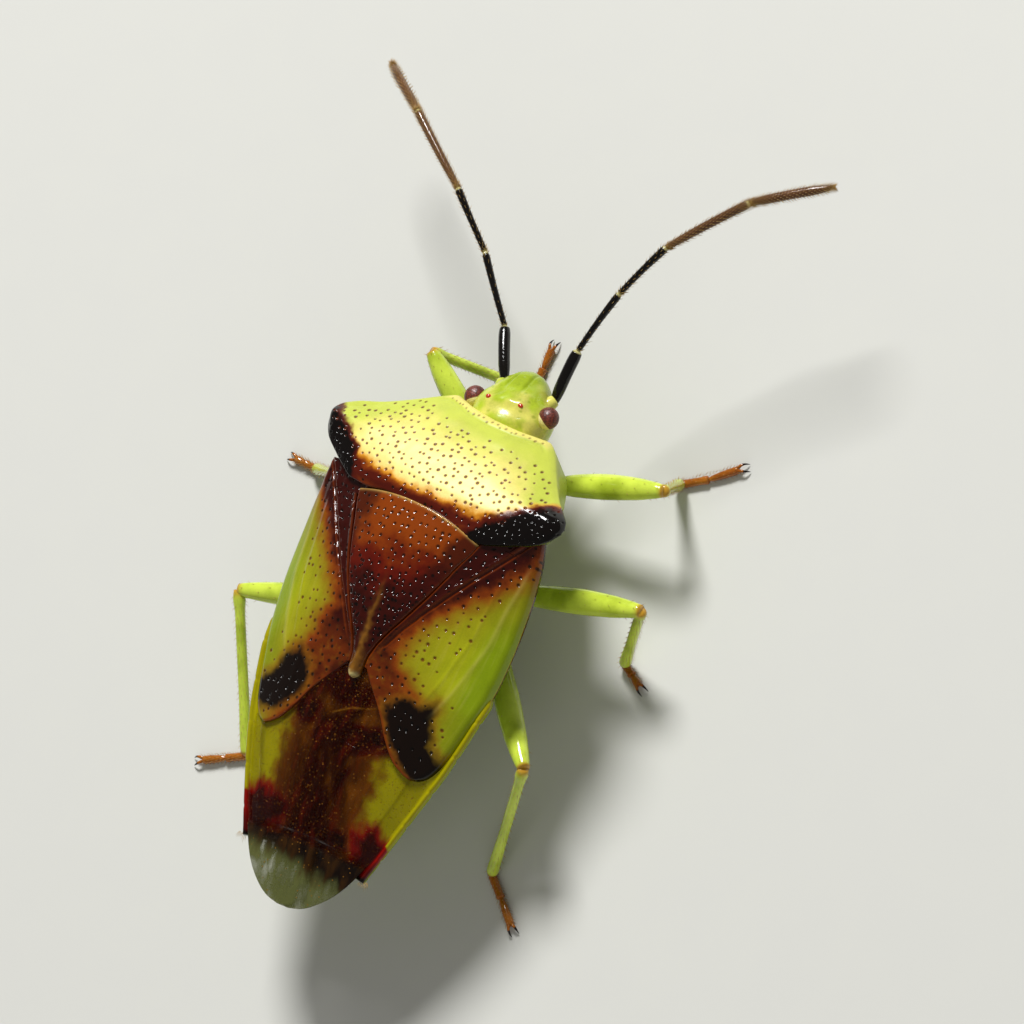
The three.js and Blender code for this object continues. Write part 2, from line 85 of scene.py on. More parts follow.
class BugColours(bpy.types.PropertyGroup):
    """Colours of the cuticle, eyes, hairs and floor."""

    lime: colour("Lime", "a6b92c", "front and sides of the pronotum, the head and the beak")
    ivory: colour("Ivory", "ecd67c", "middle of the pronotum and pale strands of the wings")
    honey: colour("Honey", "cf8a1e", "first fringe between pale and dark cuticle")
    rust: colour("Rust", "7c3406", "second fringe between pale and dark cuticle, and the feet")
    maroon: colour("Maroon", "4a1004", "dark band at the rear of the pronotum, and the eyes")
    soot: colour("Soot", "070302", "shoulder angles, and pits of dark cuticle")
    pit: colour("Pit", "5a2008", "pigment in the pits of pale cuticle")
    chestnut: colour("Chestnut", "7c3404", "front of the scutellum")
    russet: colour("Russet", "560e02", "middle of the scutellum")
    wine: colour("Wine", "300602", "rear of the scutellum, and the inner part of the wings")
    tan: colour("Tan", "84581a", "mid line of the scutellum, and hairs")
    leaf: colour("Leaf", "a2a812", "leathery part of the wings")
    olive: colour("Olive", "857a10", "wings beside the dark parts")
    amber: colour("Amber", "80500a", "wings next to the dark parts, and flecks of the membrane")
    ember: colour("Ember", "6a2a04", "seam of the membrane, and mottling of the wings")
    grass: colour("Grass", "7e920a", "outer margin of the wings, and shade on head, belly and legs")
    # umber also paints the membranes' dark outer rear corners, which are partly painted shadow
    umber: colour("Umber", "0e0401", "dark patches at the corners of the wings, claws and tip of the beak")
    smoke: colour("Smoke", "220300", "membrane of the wings")
    glass: colour("Glass", "5c6034", "clear end of the membrane")
    mustard: colour("Mustard", "948c04", "sides of the abdomen's back")
    bronze: colour("Bronze", "6c3a04", "middle of the abdomen's back")
    garnet: colour("Garnet", "300201", "inner part of the abdomen's red corners")
    earth: colour("Earth", "480c01", "dark clouds of the abdomen and the membrane")
    coral: colour("Coral", "b8321a", "small single eyes on top of the head")
    scarlet: colour("Scarlet", "7a0601", "rear corners of the abdomen")
    stem: colour("Stem", "c4d648", "legs")
    copper: colour("Copper", "b4701e", "feet and knees")
    jet: colour("Jet", "0d0a08", "first joints of the feelers")
    bark: colour("Bark", "5e402a", "last two joints of the feelers")
    plum: colour("Plum", "8a4030", "large eyes")
    cream: colour("Cream", "e0d690", "rim behind the eyes, joints of the feelers and tip of the scutellum")
    gold: colour("Gold", "c7a45a", "hairs, and the front rim of the scutellum")
    floor: colour("Floor", "c6c6c0", "floor")


class BugSizes(bpy.types.PropertyGroup):
    """Sizes of the fine forms."""

    pit: length("Pit", 0.036, "usual radius of the pits in the cuticle")
    pit_depth: length("Pit depth", 0.02, "usual depth of the pits")
    skin: length("Skin", 0.05, "thickness of the leathery part of the wings")
    film: length("Film", 0.012, "thickness of the wing membranes")
    hair: length("Hair", 0.09, "length of the hairs on the feelers and legs")


# Curves, lattices and smooth steps


def curve(knots, at):
    """A smooth curve through knots (place, value): a cubic between each pair, whose slope at a knot is
    the harmonic mean of the slopes beside it, or level at a peak, so that it never overshoots."""
    x, y = np.array(sorted(knots), float).T
    h = np.diff(x)
    slope = np.diff(y) / h
    before, after = slope[:-1], slope[1:]
    same = before * after > 0
    inner = np.where(same, 2 * before * after / np.where(same, before + after, 1), 0)
    tangent = np.concatenate([slope[:1], inner, slope[-1:]])
    at = np.clip(at, x[0], x[-1])
    i = np.clip(np.searchsorted(x, at, side="right") - 1, 0, len(h) - 1)
    t = (at - x[i]) / h[i]
    return (
        (2 * t**3 - 3 * t**2 + 1) * y[i]
        + (t**3 - 2 * t**2 + t) * h[i] * tangent[i]
        + (3 * t**2 - 2 * t**3) * y[i + 1]
        + (t**3 - t**2) * h[i] * tangent[i + 1]
    )


def step(low, high, at):
    """0 below low, 1 above high, and the smooth cubic 3t² - 2t³ between them (low may be above high)."""
    t = np.clip((at - low) / (high - low), 0, 1)
    return t * t * (3 - 2 * t)


def bell(x, wide, y=0.0, long=1.0):
    """1 in the middle, falling to 1/e at the distance wide (and long, the other way)."""
    return np.exp(-((x / wide) ** 2) - (y / long) ** 2)


def rounded(edge, radius):
    """How far a quarter-round edge falls below the surface at a distance from the edge."""
    near = np.clip(1 - edge / radius, 0, 1)
    return radius * (1 - np.sqrt(1 - near**2 * 0.999))


def closing(start, turn, end, count, tail, first=0.03):
    """Rows at even steps from start to turn, then ever closer up to end, by a quarter of a sine."""
    close = turn + (end - turn) * np.sin(np.linspace(first, 1, tail) * np.pi / 2)
    return np.concatenate([np.linspace(start, turn, count), close])[:, None]


def chance(i, j, seed):
    """An even random number from 0 to 1 for each whole-number cell: products with large odd numbers,
    mixed by shifts."""
    n = (i.astype(np.int64) * 73856093 ^ j.astype(np.int64) * 19349663 ^ seed * 83492791) & 0xFFFFFFFF
    n = ((n ^ (n >> 13)) * 1274126177) & 0xFFFFFFFF
    n = ((n ^ (n >> 15)) * 2246822519) & 0xFFFFFFFF
    return (n ^ (n >> 16)) / 4294967296.0


def ripple(x, y, scale, seed):
    """Value noise from -1 to 1: random numbers at the corners of a lattice, joined by smooth steps."""
    u, v = x / scale, y / scale
    i, j = np.floor(u).astype(int), np.floor(v).astype(int)
    a, b = step(0, 1, u - i), step(0, 1, v - j)
    low = chance(i, j, seed) * (1 - a) + chance(i + 1, j, seed) * a
    high = chance(i, j + 1, seed) * (1 - a) + chance(i + 1, j + 1, seed) * a
    return 2 * (low * (1 - b) + high * b) - 1


def pits(x, y, cell, radius, seed, share):
    """Round pits on a loosened lattice. Each cell has one pit, moved off the middle at random and left
    out where a random number passes share, which is a number or a function of the place. Returns the
    deepest bowl (1 - d²)^1.5 and the pigment spot about it, 1 inside d = 0.6 and 0 outside d = 1.1,
    with d the distance in radii."""
    i0, j0 = np.floor(x / cell).astype(int), np.floor(y / cell).astype(int)
    bowl, spot = np.zeros_like(x), np.zeros_like(x)
    for i, j in ((i0 + a, j0 + b) for a in (-1, 0, 1) for b in (-1, 0, 1)):
        cx = (i + 0.5 + 0.6 * (chance(i, j, seed) - 0.5)) * cell
        cy = (j + 0.5 + 0.6 * (chance(i, j, seed + 1) - 0.5)) * cell
        there = chance(i, j, seed + 2) < (share(cx, cy) if callable(share) else share)
        d = np.hypot(x - cx, y - cy) / (radius * (0.7 + 0.5 * chance(i, j, seed + 3)))
        bowl = np.maximum(bowl, there * np.clip(1 - d * d, 0, 1) ** 1.5)
        spot = np.maximum(spot, there * step(1.1, 0.6, d))
    return bowl, spot


def spun(x, y, angle, pivot, shift):
    """x and y turned by an angle about a pivot, then moved ahead by shift."""
    c, s = math.cos(angle), math.sin(angle)
    x, y = x - pivot[0], y - pivot[1]
    return pivot[0] + c * x - s * y, pivot[1] + shift + s * x + c * y


def distance(x, y, line):
    """Distance from each point to a broken line through the points of line."""
    line = np.array(line, float)
    best = np.full(np.shape(x), 99.0)
    for a, b in zip(line[:-1], line[1:]):
        way = b - a
        t = np.clip(((x - a[0]) * way[0] + (y - a[1]) * way[1]) / (way @ way), 0, 1)
        best = np.minimum(best, np.hypot(x - a[0] - t * way[0], y - a[1] - t * way[1]))
    return best


def inside(x, y, ring):
    """Distance to the edge of a closed outline, positive inside it: inside is where a level ray to the
    right crosses the outline an odd number of times."""
    odd = np.zeros(np.shape(x), bool)
    for (ax, ay), (bx, by) in zip(ring, ring[1:] + ring[:1]):
        crosses = (ay > y) != (by > y)
        odd ^= crosses & (x < ax + (y - ay) * (bx - ax) / ((by - ay) or 1e-9))
    return distance(x, y, ring + ring[:1]) * np.where(odd, 1, -1)


# The form of the back, shared by every plate on it

RIM_HEIGHT = [
    (0.1, 2.66), (-0.4, 2.5), (-1.2, 2.25), (-2.4, 2.05), (-4.2, 1.84), (-5.65, 1.68), (-7, 1.42),
    (-8.45, 1.12),
]
CROWN_HEIGHT = [
    (0.3, 2.78), (-0.4, 2.93), (-1.2, 2.98), (-2.4, 2.88), (-4.1, 2.52), (-5.4, 2.26), (-7, 1.78),
    (-8.45, 1.25),
]
RIM_HALF = [
    (-0.4, 2.5), (-1, 2.54), (-2.4, 2.57), (-3.6, 2.5), (-5, 2.23), (-5.6, 2.05), (-6.4, 1.77),
    (-7.05, 1.53), (-7.5, 1.36), (-8.45, 1.1),
]


def back_height(side, ahead):
    """Height of the back: from the rim up to the crown by 1 - |side/half width|^2.2."""
    across = np.minimum(1, np.abs(side) / curve(RIM_HALF, ahead))
    rim = curve(RIM_HEIGHT, ahead)
    return rim + (curve(CROWN_HEIGHT, ahead) - rim) * (1 - across**2.2)


# Meshes


def points(side, ahead, up):
    """Points from their three numbers, each spread over the rows and columns of the others."""
    return np.stack(np.broadcast_arrays(side, ahead, up), axis=-1)


def place(given):
    """The insect's side, ahead and up in millimetres as the frame's metres."""
    side, ahead, up = np.moveaxis(np.asarray(given, float), -1, 0)
    return points(CENTRE[0] - side * MM, CENTRE[1] - ahead * MM, (up + STAND) * MM)


def raised(sheet, lift, way=1):
    """A sheet of points moved by lift along its normals, which are turned to point up (down for way -1).
    A normal is the cross product of the differences along the sheet's two ways."""
    normal = np.cross(np.gradient(sheet, axis=1), np.gradient(sheet, axis=0))
    normal /= np.maximum(np.linalg.norm(normal, axis=-1, keepdims=True), 1e-12)
    return sheet + way * np.sign(normal[..., 2:3]) * normal * lift[..., None]


def over(top, bottom, value, below=0.0):
    """One mask for a ring that runs over a plate's top and back along its bottom."""
    return np.concatenate(
        [np.broadcast_to(value, top.shape[:2]), np.broadcast_to(below, bottom.shape[:2])], axis=1
    )


def loft(grid, **masks):
    """A closed skin over rings: grid is rings × points × 3, each ring closed on itself, and each end is
    closed by a fan on the ring's own centre. Masks hold one number for each point."""
    rings, around = grid.shape[:2]
    verts = np.concatenate([grid.reshape(-1, 3), grid[:1].mean(axis=1), grid[-1:].mean(axis=1)])
    i = np.arange(rings - 1)[:, None] * around
    j = np.arange(around)[None, :]
    k = (j + 1) % around
    quads = np.stack([i + j, i + k, i + around + k, i + around + j], axis=-1).reshape(-1, 4)
    j, k = j[0], k[0]
    last = (rings - 1) * around
    first_pole, last_pole = rings * around, rings * around + 1
    fans = np.concatenate(
        [
            np.stack([k, j, np.full_like(j, first_pole)], axis=-1),
            np.stack([last + j, last + k, np.full_like(j, last_pole)], axis=-1),
        ]
    )
    a, b, c, d = (verts[quads[:, n]] for n in range(4))
    volume = (a * (np.cross(b, c) + np.cross(c, d))).sum()
    if volume < 0:
        quads, fans = quads[:, ::-1], fans[:, ::-1]
    values = {}
    for name, mask in masks.items():
        m = np.broadcast_to(mask, (rings, around))
        values[name] = np.concatenate([m.reshape(-1), [m[0].mean(), m[-1].mean()]])
    return {"verts": verts, "quads": quads, "tris": fans, "masks": values}


def tube(path, radii, sides=20, flat=1.0, up=(0, 0, 1), **masks):
    """A limb: rings of the given radii square to a path, flattened by `flat` the way of `up`, closed as
    a loft. Masks hold one number for each ring, or one for all."""
    path, radii = np.asarray(path, float), np.asarray(radii, float)
    way = np.gradient(path, axis=0)
    way /= np.linalg.norm(way, axis=1, keepdims=True)
    across = np.cross(up, way)
    across /= np.linalg.norm(across, axis=1, keepdims=True)
    upward = np.cross(way, across)
    angle = np.arange(sides) * 2 * np.pi / sides
    turn = angle[None, :, None]
    ring = across[:, None] * np.cos(turn) + flat * upward[:, None] * np.sin(turn)
    grid = path[:, None] + ring * radii[:, None, None]
    return loft(grid, **{key: np.asarray(value, float)[..., None] for key, value in masks.items()})


def ball(centre, radii, count=32, **masks):
    """A closed ball: rings at even angles from pole to pole, each axis with its own radius."""
    polar = np.linspace(0.02, np.pi - 0.02, count)[:, None]
    turn = np.arange(count * 2)[None, :] * np.pi / count
    unit = points(np.sin(polar) * np.cos(turn), np.sin(polar) * np.sin(turn), np.cos(polar))
    return loft(np.asarray(centre) + unit * np.asarray(radii), **masks)


def rider(name, verts, faces, material):
    """A smooth object in the frame's own place, riding on the body of the model."""
    mesh = bpy.data.meshes.new(name)
    mesh.from_pydata(place(verts).tolist(), [], faces)
    mesh.polygons.foreach_set("use_smooth", np.ones(len(mesh.polygons), bool))
    mesh.materials.append(material)
    made = bpy.data.objects.new(name, mesh)
    bpy.context.scene.collection.objects.link(made)
    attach(made, "root")
    return made


def piece(name, parts, nodes, material):
    """One object from closed parts, with their masks, which stands in for nodes of the model."""
    faces, start = [], 0
    for part in parts:
        faces += (part["quads"] + start).tolist() + (part["tris"] + start).tolist()
        start += len(part["verts"])
    made = rider(name, np.concatenate([part["verts"] for part in parts]), faces, material)
    for key in sorted({key for part in parts for key in part["masks"]}):
        values = [part["masks"].get(key, np.zeros(len(part["verts"]))) for part in parts]
        layer = made.data.attributes.new(key, "FLOAT", "POINT")
        layer.data.foreach_set("value", np.concatenate(values).astype(np.float32))
    made.data.update()
    if nodes:
        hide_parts(*nodes)


# Node groups and materials


class Shader:
    """A material's node tree with short calls for the nodes used here."""

    def __init__(self, name="", tree=None):
        if tree is None:
            self.material = bpy.data.materials.new(name)
            self.material.use_nodes = True
            tree = self.material.node_tree
            self.surface = tree.nodes["Principled BSDF"]
        self.tree = tree

    def node(self, kind, **values):
        made = self.tree.nodes.new(kind)
        for key, value in values.items():
            setattr(made, key, value)
        return made

    def feed(self, socket, value):
        if isinstance(value, bpy.types.NodeSocket):
            self.tree.links.new(value, socket)
        elif hasattr(value, "__len__") and len(value) == 3 and socket.type == "RGBA":
            socket.default_value = (*value, 1)
        else:
            socket.default_value = value

    def mask(self, name):
        return self.node("ShaderNodeAttribute", attribute_name=name).outputs["Fac"]

    def spot(self):
        return self.node("ShaderNodeTexCoord").outputs["Object"]

    def math(self, operation, a, b=0.0, clamp=False):
        made = self.node("ShaderNodeMath", operation=operation, use_clamp=clamp)
        for socket, value in zip(made.inputs, (a, b)):
            self.feed(socket, value)
        return made.outputs[0]

    def times(self, a, b):
        return self.math("MULTIPLY", a, b)

    def plus(self, a, b, clamp=False):
        return self.math("ADD", a, b, clamp=clamp)

    def most(self, a, b):
        return self.math("MAXIMUM", a, b)

    def size(self, a):
        return self.math("ABSOLUTE", a)

    def ramp(self, value, low, high, start=0.0, end=1.0):
        """From start at low to end at high, by a smooth step."""
        made = self.node("ShaderNodeMapRange", interpolation_type="SMOOTHSTEP")
        for socket, given in zip(made.inputs, (value, low, high, start, end)):
            self.feed(socket, given)
        return made.outputs[0]

    def blend(self, share, a, b, kind="MIX"):
        made = self.node("ShaderNodeMix", data_type="RGBA", blend_type=kind)
        self.feed(made.inputs["Factor"], share)
        self.feed(made.inputs[6], a)  # 6, 7 and 2 are the node's colours
        self.feed(made.inputs[7], b)
        return made.outputs[2]

    def layers(self, field, *coats):
        """A colour with others laid over it in turn, each by its own share."""
        for share, paint in coats:
            field = self.blend(share, field, paint)
        return field

    def noise(self, scale, detail=3.0, vector=None):
        made = self.node("ShaderNodeTexNoise")
        self.feed(made.inputs["Vector"], vector or self.spot())
        made.inputs["Scale"].default_value = scale
        made.inputs["Detail"].default_value = detail
        return made.outputs["Fac"]

    def waver(self, scale, detail=4.0, vector=None):
        """Noise between -0.5 and 0.5, which makes the border of a colour wander."""
        return self.math("SUBTRACT", self.noise(scale, detail, vector), 0.5)

    def plane(self, x, y):
        """A place made of two numbers, for a noise that is drawn out one way."""
        made = self.node("ShaderNodeCombineXYZ")
        self.feed(made.inputs[0], x)
        self.feed(made.inputs[1], y)
        return made.outputs[0]

    def cells(self, scale):
        """Distance to the nearest of the points strewn over the material."""
        made = self.node("ShaderNodeTexVoronoi")
        self.feed(made.inputs["Vector"], self.spot())
        made.inputs["Scale"].default_value = scale
        return made.outputs["Distance"]

    def specks(self, spacing, radius):
        """Small round punctures, as a mask that is 1 in each."""
        return self.ramp(self.cells(1 / (spacing * MM)), radius / spacing, 0.7 * radius / spacing)

    def bump(self, height, strength, span=0.02 * MM):
        made = self.node("ShaderNodeBump")
        made.inputs["Strength"].default_value = strength
        made.inputs["Distance"].default_value = span
        self.feed(made.inputs["Height"], height)
        self.feed(self.surface.inputs["Normal"], made.outputs["Normal"])

    def group(self, tree, **values):
        made = self.node("ShaderNodeGroup", node_tree=tree)
        for key, value in values.items():
            self.feed(made.inputs[key.replace("_", " ")], value)
        return made.outputs

    def finish(self, **values):
        for key, value in values.items():
            self.feed(self.surface.inputs[key.replace("_", " ")], value)
        return self.material


def cuticle_grain():
    """A shared effect: mottling of a colour at two sizes, and a fine leathery height for its bump."""
    found = bpy.data.node_groups.get("Cuticle grain")
    if found:
        return found
    tree = bpy.data.node_groups.new("Cuticle grain", "ShaderNodeTree")
    for name, kind, default in (("Base", "Color", (1, 1, 1, 1)), ("Depth", "Float", 0.2)):
        socket = tree.interface.new_socket(name, in_out="INPUT", socket_type="NodeSocket" + kind)
        socket.default_value = default
    for name, kind in (("Colour", "Color"), ("Height", "Float"), ("Roughness", "Float")):
        tree.interface.new_socket(name, in_out="OUTPUT", socket_type="NodeSocket" + kind)
    shader = Shader(tree=tree)
    source = shader.node("NodeGroupInput").outputs
    sink = shader.node("NodeGroupOutput").inputs
    broad = shader.noise(2600.0, 3.0)
    fine = shader.noise(26000.0, 2.0)
    both = shader.plus(shader.times(broad, 0.7), shader.times(fine, 0.3))
    dark = shader.blend(1.0, source["Base"], (0.45, 0.45, 0.45), "MULTIPLY")
    light = shader.blend(1.0, source["Base"], (1.35, 1.3, 1.2), "MULTIPLY")
    fall = shader.times(shader.ramp(both, 0.55, 0.3), source["Depth"])
    lift = shader.times(shader.ramp(both, 0.5, 0.75), source["Depth"])
    shader.feed(sink["Colour"], shader.layers(source["Base"], (fall, dark), (lift, light)))
    shader.feed(sink["Height"], fine)
    shader.feed(sink["Roughness"], shader.ramp(broad, 0.3, 0.7, 0.09, 0.15))
    return tree


def shell(name, base, paints, depth=0.2, bump=0.1, coat=0.05, **values):
    """Glossy cuticle, mottled and grained by the shared effect. `base(shader, paints)` makes its colour,
    or its colour and its roughness."""
    shader = Shader(name)
    field = base(shader, paints)
    if isinstance(field, tuple):
        field, values["Roughness"] = field
    grain = shader.group(cuticle_grain(), Base=field, Depth=depth)
    shader.bump(grain["Height"], bump)
    values.setdefault("Roughness", grain["Roughness"])
    values.setdefault("Specular_IOR_Level", 0.3)
    return shader.finish(Base_Color=grain["Colour"], Coat_Weight=coat, Coat_Roughness=0.1, **values)


# Pronotum

SHOULDER = 2.76
PRONOTUM_TURN = math.radians(-5.8)  # the plate is turned a little to the right on the body, as in life
PRONOTUM_PIVOT = (0.0, 0.3)
PRONOTUM_SHIFT = 0.07
PRONOTUM_STRETCH = 1.025  # its left side is a little wider
PRONOTUM_MESH = (440, 168, 48)  # columns, rows on the top and rows underneath
FRONT_EDGE = [
    (0, 1.34), (0.5, 1.37), (0.9, 1.44), (1.08, 1.47), (1.2, 1.42), (1.43, 1.24), (1.71, 0.97),
    (1.98, 0.72), (2.25, 0.5), (2.52, 0.32), (2.68, 0.2), (2.76, 0.04),
]
REAR_EDGE = [
    (0, -0.84), (0.6, -0.86), (1.17, -0.95), (1.5, -0.94), (1.83, -0.8), (2.15, -0.63), (2.48, -0.43),
    (2.66, -0.23), (2.76, -0.02),
]
PRONOTUM_CROWN = [
    (1.55, 1.84), (1.3, 2.04), (0.9, 2.36), (0.4, 2.7), (0, 2.88), (-0.35, 3.0), (-0.95, 3.05),
]
PRONOTUM_RIM = [(1.55, 1.6), (0.95, 2.0), (0.42, 2.35), (0.02, 2.64), (-0.4, 2.58), (-0.95, 2.52)]
PRONOTUM_HALF = [(1.55, 1.16), (1.26, 1.43), (0.95, 1.71), (0.45, 2.25), (0.02, 2.76), (-0.95, 2.78)]
FRONT_SLANT = [(0, 1), (1.1, 0.95), (1.3, 0.7), (2.76, 0.7)]
BARE_FRONT = [(0, 0.42), (1.0, 0.42), (1.5, 0.1), (2.76, 0.08)]  # breadth of the front without pits
# the left front edge bulges a little more
LEFT_SWELL = [(0, 0), (1.2, 0), (2.0, 0.06), (2.5, 0.13), (2.76, 0.1)]
PALE_LINE = [
    (-3.1, 0.8), (-2.72, 0.52), (-2.55, 0.31), (-2.19, 0.15), (-1.95, -0.01), (-1.78, -0.17),
    (-1.54, -0.27), (-1.11, -0.33), (-0.88, -0.38), (-0.65, -0.43), (-0.38, -0.46), (0.11, -0.45),
    (0.57, -0.47), (1.02, -0.48), (1.23, -0.47), (1.41, -0.44), (1.57, -0.4), (1.84, -0.1),
    (2.0, 0.01), (2.15, 0.1), (2.27, 0.21), (2.6, 0.36), (3.1, 0.4),
]
BLACK_LEFT = [
    (-3.3, 0.8), (-2.85, 0.68), (-2.56, 0.33), (-2.12, 0.08), (-1.86, -0.18), (-1.72, -0.46),
    (-1.55, -0.8), (-1.5, -1.3), (-3.3, -1.3),
]
BLACK_RIGHT = [
    (3.3, 0.38), (2.59, 0.25), (2.26, 0.07), (1.93, -0.16), (1.61, -0.44), (1.42, -0.66), (1.2, -0.86),
    (0.9, -1.3), (3.3, -1.3),
]


def front_edge(side):
    return curve(FRONT_EDGE, np.abs(side)) + curve(LEFT_SWELL, -side)


def rear_edge(side):
    return curve(REAR_EDGE, np.abs(side))


def blackness(x, y):
    """Distance to the edge of the black shoulder angles, positive inside them."""
    return np.maximum(inside(x, y, BLACK_LEFT), inside(x, y, BLACK_RIGHT))


def pronotum_height(side, ahead):
    """From the rim up to the crown by 1 - |side/half width|^2.3, with a low swelling on each side of
    the middle behind the collar."""
    across = np.minimum(1, np.abs(side) / curve(PRONOTUM_HALF, ahead))
    rim = curve(PRONOTUM_RIM, ahead)
    swell = 0.04 * bell(np.abs(side) - 0.62, 0.36, ahead - 0.98, 0.17)
    return rim + (curve(PRONOTUM_CROWN, ahead) - rim) * (1 - across**2.3) + swell


def pronotum_turned(side, ahead):
    """The pronotum's own side and ahead, turned about its pivot into the insect's."""
    side = side * np.where(side < 0, PRONOTUM_STRETCH, 1.0)
    return spun(side, ahead, PRONOTUM_TURN, PRONOTUM_PIVOT, PRONOTUM_SHIFT)


def pronotum_grid(columns, rows, under):
    """Columns at constant side from the front edge over the top to the rear edge and back underneath."""
    even = np.linspace(-1, 1, columns + 2)[1:-1, None]
    s = SHOULDER * (0.75 * even + 0.25 * np.sin(even * np.pi / 2))
    front, rear = front_edge(s), rear_edge(s)
    t = np.linspace(0, 1, rows)[None, :]
    t = t - 0.12 * np.sin(2 * np.pi * t) / (2 * np.pi)
    ahead = front + (rear - front) * t
    slant = curve(FRONT_SLANT, np.abs(s))
    tip = 0.16 * (1 - np.sqrt(1 - np.clip((np.abs(s) - 2.42) / 0.345, 0, 0.995) ** 2))
    fall = rounded((front - ahead) * slant, 0.09) + rounded((ahead - rear) * 0.95, 0.03)
    fall = fall + 0.04 * step(0.16, 0.0, ahead - rear)
    top = points(s, ahead, pronotum_height(s, ahead) - fall - tip)
    u = np.linspace(1, 0, under)[None, :]
    inset = 0.04 + 0.25 * np.minimum(1, (SHOULDER - np.abs(s)) / 0.8)
    low = (front - inset) + ((rear + 0.3 * inset) - (front - inset)) * u
    floor = 0.3 + (curve(PRONOTUM_RIM, low) - 0.72) * np.minimum(1, np.abs(s) / 2.45) ** 1.6
    ceiling = pronotum_height(s, low) - 0.16 - tip
    tuck = s - np.sign(s) * 0.45 * np.maximum(0, np.abs(s) - 1.9) * np.minimum(1, 4 * u * (1 - u) + 0.5)
    bottom = points(tuck, low, np.minimum(floor, ceiling))
    return top, bottom, np.minimum((front - ahead) * slant, ahead - rear)


class MakePronotum(bpy.types.Operator):
    """Adds the pronotum with its pits, dark rear band and black shoulder angles"""

    bl_idname = "bug.pronotum"
    bl_label = "Pronotum"

    def execute(self, context):
        sizes, paints = context.scene.bug_sizes, context.scene.bug_colours
        pit = sizes.pit / MM
        top, bottom, edge = pronotum_grid(*PRONOTUM_MESH)
        side, ahead = top[..., 0], top[..., 1]
        front = front_edge(side) - ahead

        def on_disc(x, y):
            bare = curve(BARE_FRONT, np.abs(x))
            return 0.93 * step(bare, bare + 0.1, front_edge(x) - y) * step(0.02, 0.08, y - rear_edge(x))

        def on_collar(x, y):
            return (y > 0) & (y < 0.11) & (np.abs(x) < 1.15)

        bowl, spot = pits(side, ahead, 0.16, 0.92 * pit, 3, on_disc)
        fine_bowl, fine_spot = pits(side, ahead, 0.125, 0.9 * pit, 37, 0.95)
        row_bowl, row_spot = pits(side, front - 0.035, 0.11, 0.7 * pit, 33, on_collar)
        shoulder = blackness(*pronotum_turned(side, ahead)) > 0
        bowl, spot = np.where(shoulder, fine_bowl, bowl), np.where(shoulder, fine_spot, spot)
        collar = 0.02 * bell(front - 0.15, 0.035) * step(1.3, 1.1, np.abs(side))
        waves = 0.006 * ripple(side, ahead, 0.35, 5) + 0.003 * ripple(side, ahead, 0.14, 9)
        wet = 0.008 * ripple(side, ahead, 0.13, 15) * step(1.9, 2.4, np.abs(side))
        lift = waves + wet - (bowl + 0.5 * row_bowl) * sizes.pit_depth / MM - collar
        grid = np.concatenate([raised(top, lift * step(0.0, 0.05, edge)), bottom], axis=1)
        own_side, own_ahead = grid[..., 0], grid[..., 1]
        x, y = pronotum_turned(own_side, own_ahead)
        part = loft(
            points(x, y, grid[..., 2]),
            pit=over(top, bottom, np.maximum(spot, 0.7 * row_spot)),
            band=distance(x, y, PALE_LINE) * np.sign(curve(PALE_LINE, x) - y),
            black=blackness(x, y),
            under=over(top, bottom, 0.0, 1.0),
            front=front_edge(own_side) - own_ahead,
            side=own_side,
        )
        material = shell("Pronotum", self.base, paints, coat=0.0, bump=0.06, Specular_IOR_Level=0.35)
        piece("pronotum_skin", [part], ["pronotum"], material)
        return {"FINISHED"}

    def base(self, shader, paints):
        """Pale disc, two fringes, dark band and black shoulders, and the flank underneath."""
        mask, ramp, times, plus = shader.mask, shader.ramp, shader.times, shader.plus
        waver = times(shader.waver(4200.0), 0.3)
        middle = shader.size(mask("side"))
        front = plus(mask("front"), times(waver, 1.6))
        front = shader.math("SUBTRACT", front, ramp(middle, 1.7, 2.5, 0.0, 0.25))
        band, black = plus(mask("band"), waver), plus(mask("black"), waver)
        collar = times(ramp(mask("front"), 0.14, 0.08), ramp(middle, 1.3, 1.1))
        pigment = shader.blend(ramp(band, 0.05, 0.2), paints.pit, paints.soot)
        flank = shader.blend(times(shader.specks(0.17, 0.03), 0.8), paints.lime, paints.pit)
        field = shader.layers(
            paints.lime,
            (ramp(front, 0.25, 1.3, 0.18, 1.0), paints.ivory),
            (times(collar, 0.6), paints.ivory),
            (ramp(band, -0.14, 0.04), paints.honey),
            (ramp(band, -0.02, 0.12), paints.rust),
            (ramp(band, 0.07, 0.2), paints.maroon),
            (ramp(band, 0.3, 0.42, 0.0, 0.4), paints.rust),
            (ramp(black, -0.16, -0.04), paints.maroon),
            (ramp(black, -0.06, 0.05), paints.soot),
            (times(mask("pit"), 0.92), pigment),
            (mask("under"), flank),
        )
        return field, ramp(shader.most(band, black), -0.1, 0.1, 0.42, 0.13)


# Scutellum

SCUTELLUM_SIDE = [
    (-0.7, 1.42), (-0.95, 1.4), (-1.5, 1.2), (-2.18, 0.93), (-2.86, 0.58), (-3.2, 0.38), (-3.5, 0.23),
    (-3.75, 0.155), (-4.0, 0.14), (-4.1, 0.1), (SCUTELLUM_TIP, 0.02),
]
SCUTELLUM_BASE = -0.93
SCUTELLUM_SLANT = 0.07  # how far the base follows the turn of the pronotum
TONGUE_END = -3.95  # behind it the tongue's sides close up to its tip
MID_LINE = [(-4.2, 0.09), (-3.85, 0.08), (-3.5, 0.065), (-2.2, 0.05)]  # breadth of the pale mid line


def scutellum_half(ahead):
    return curve(SCUTELLUM_SIDE, ahead)


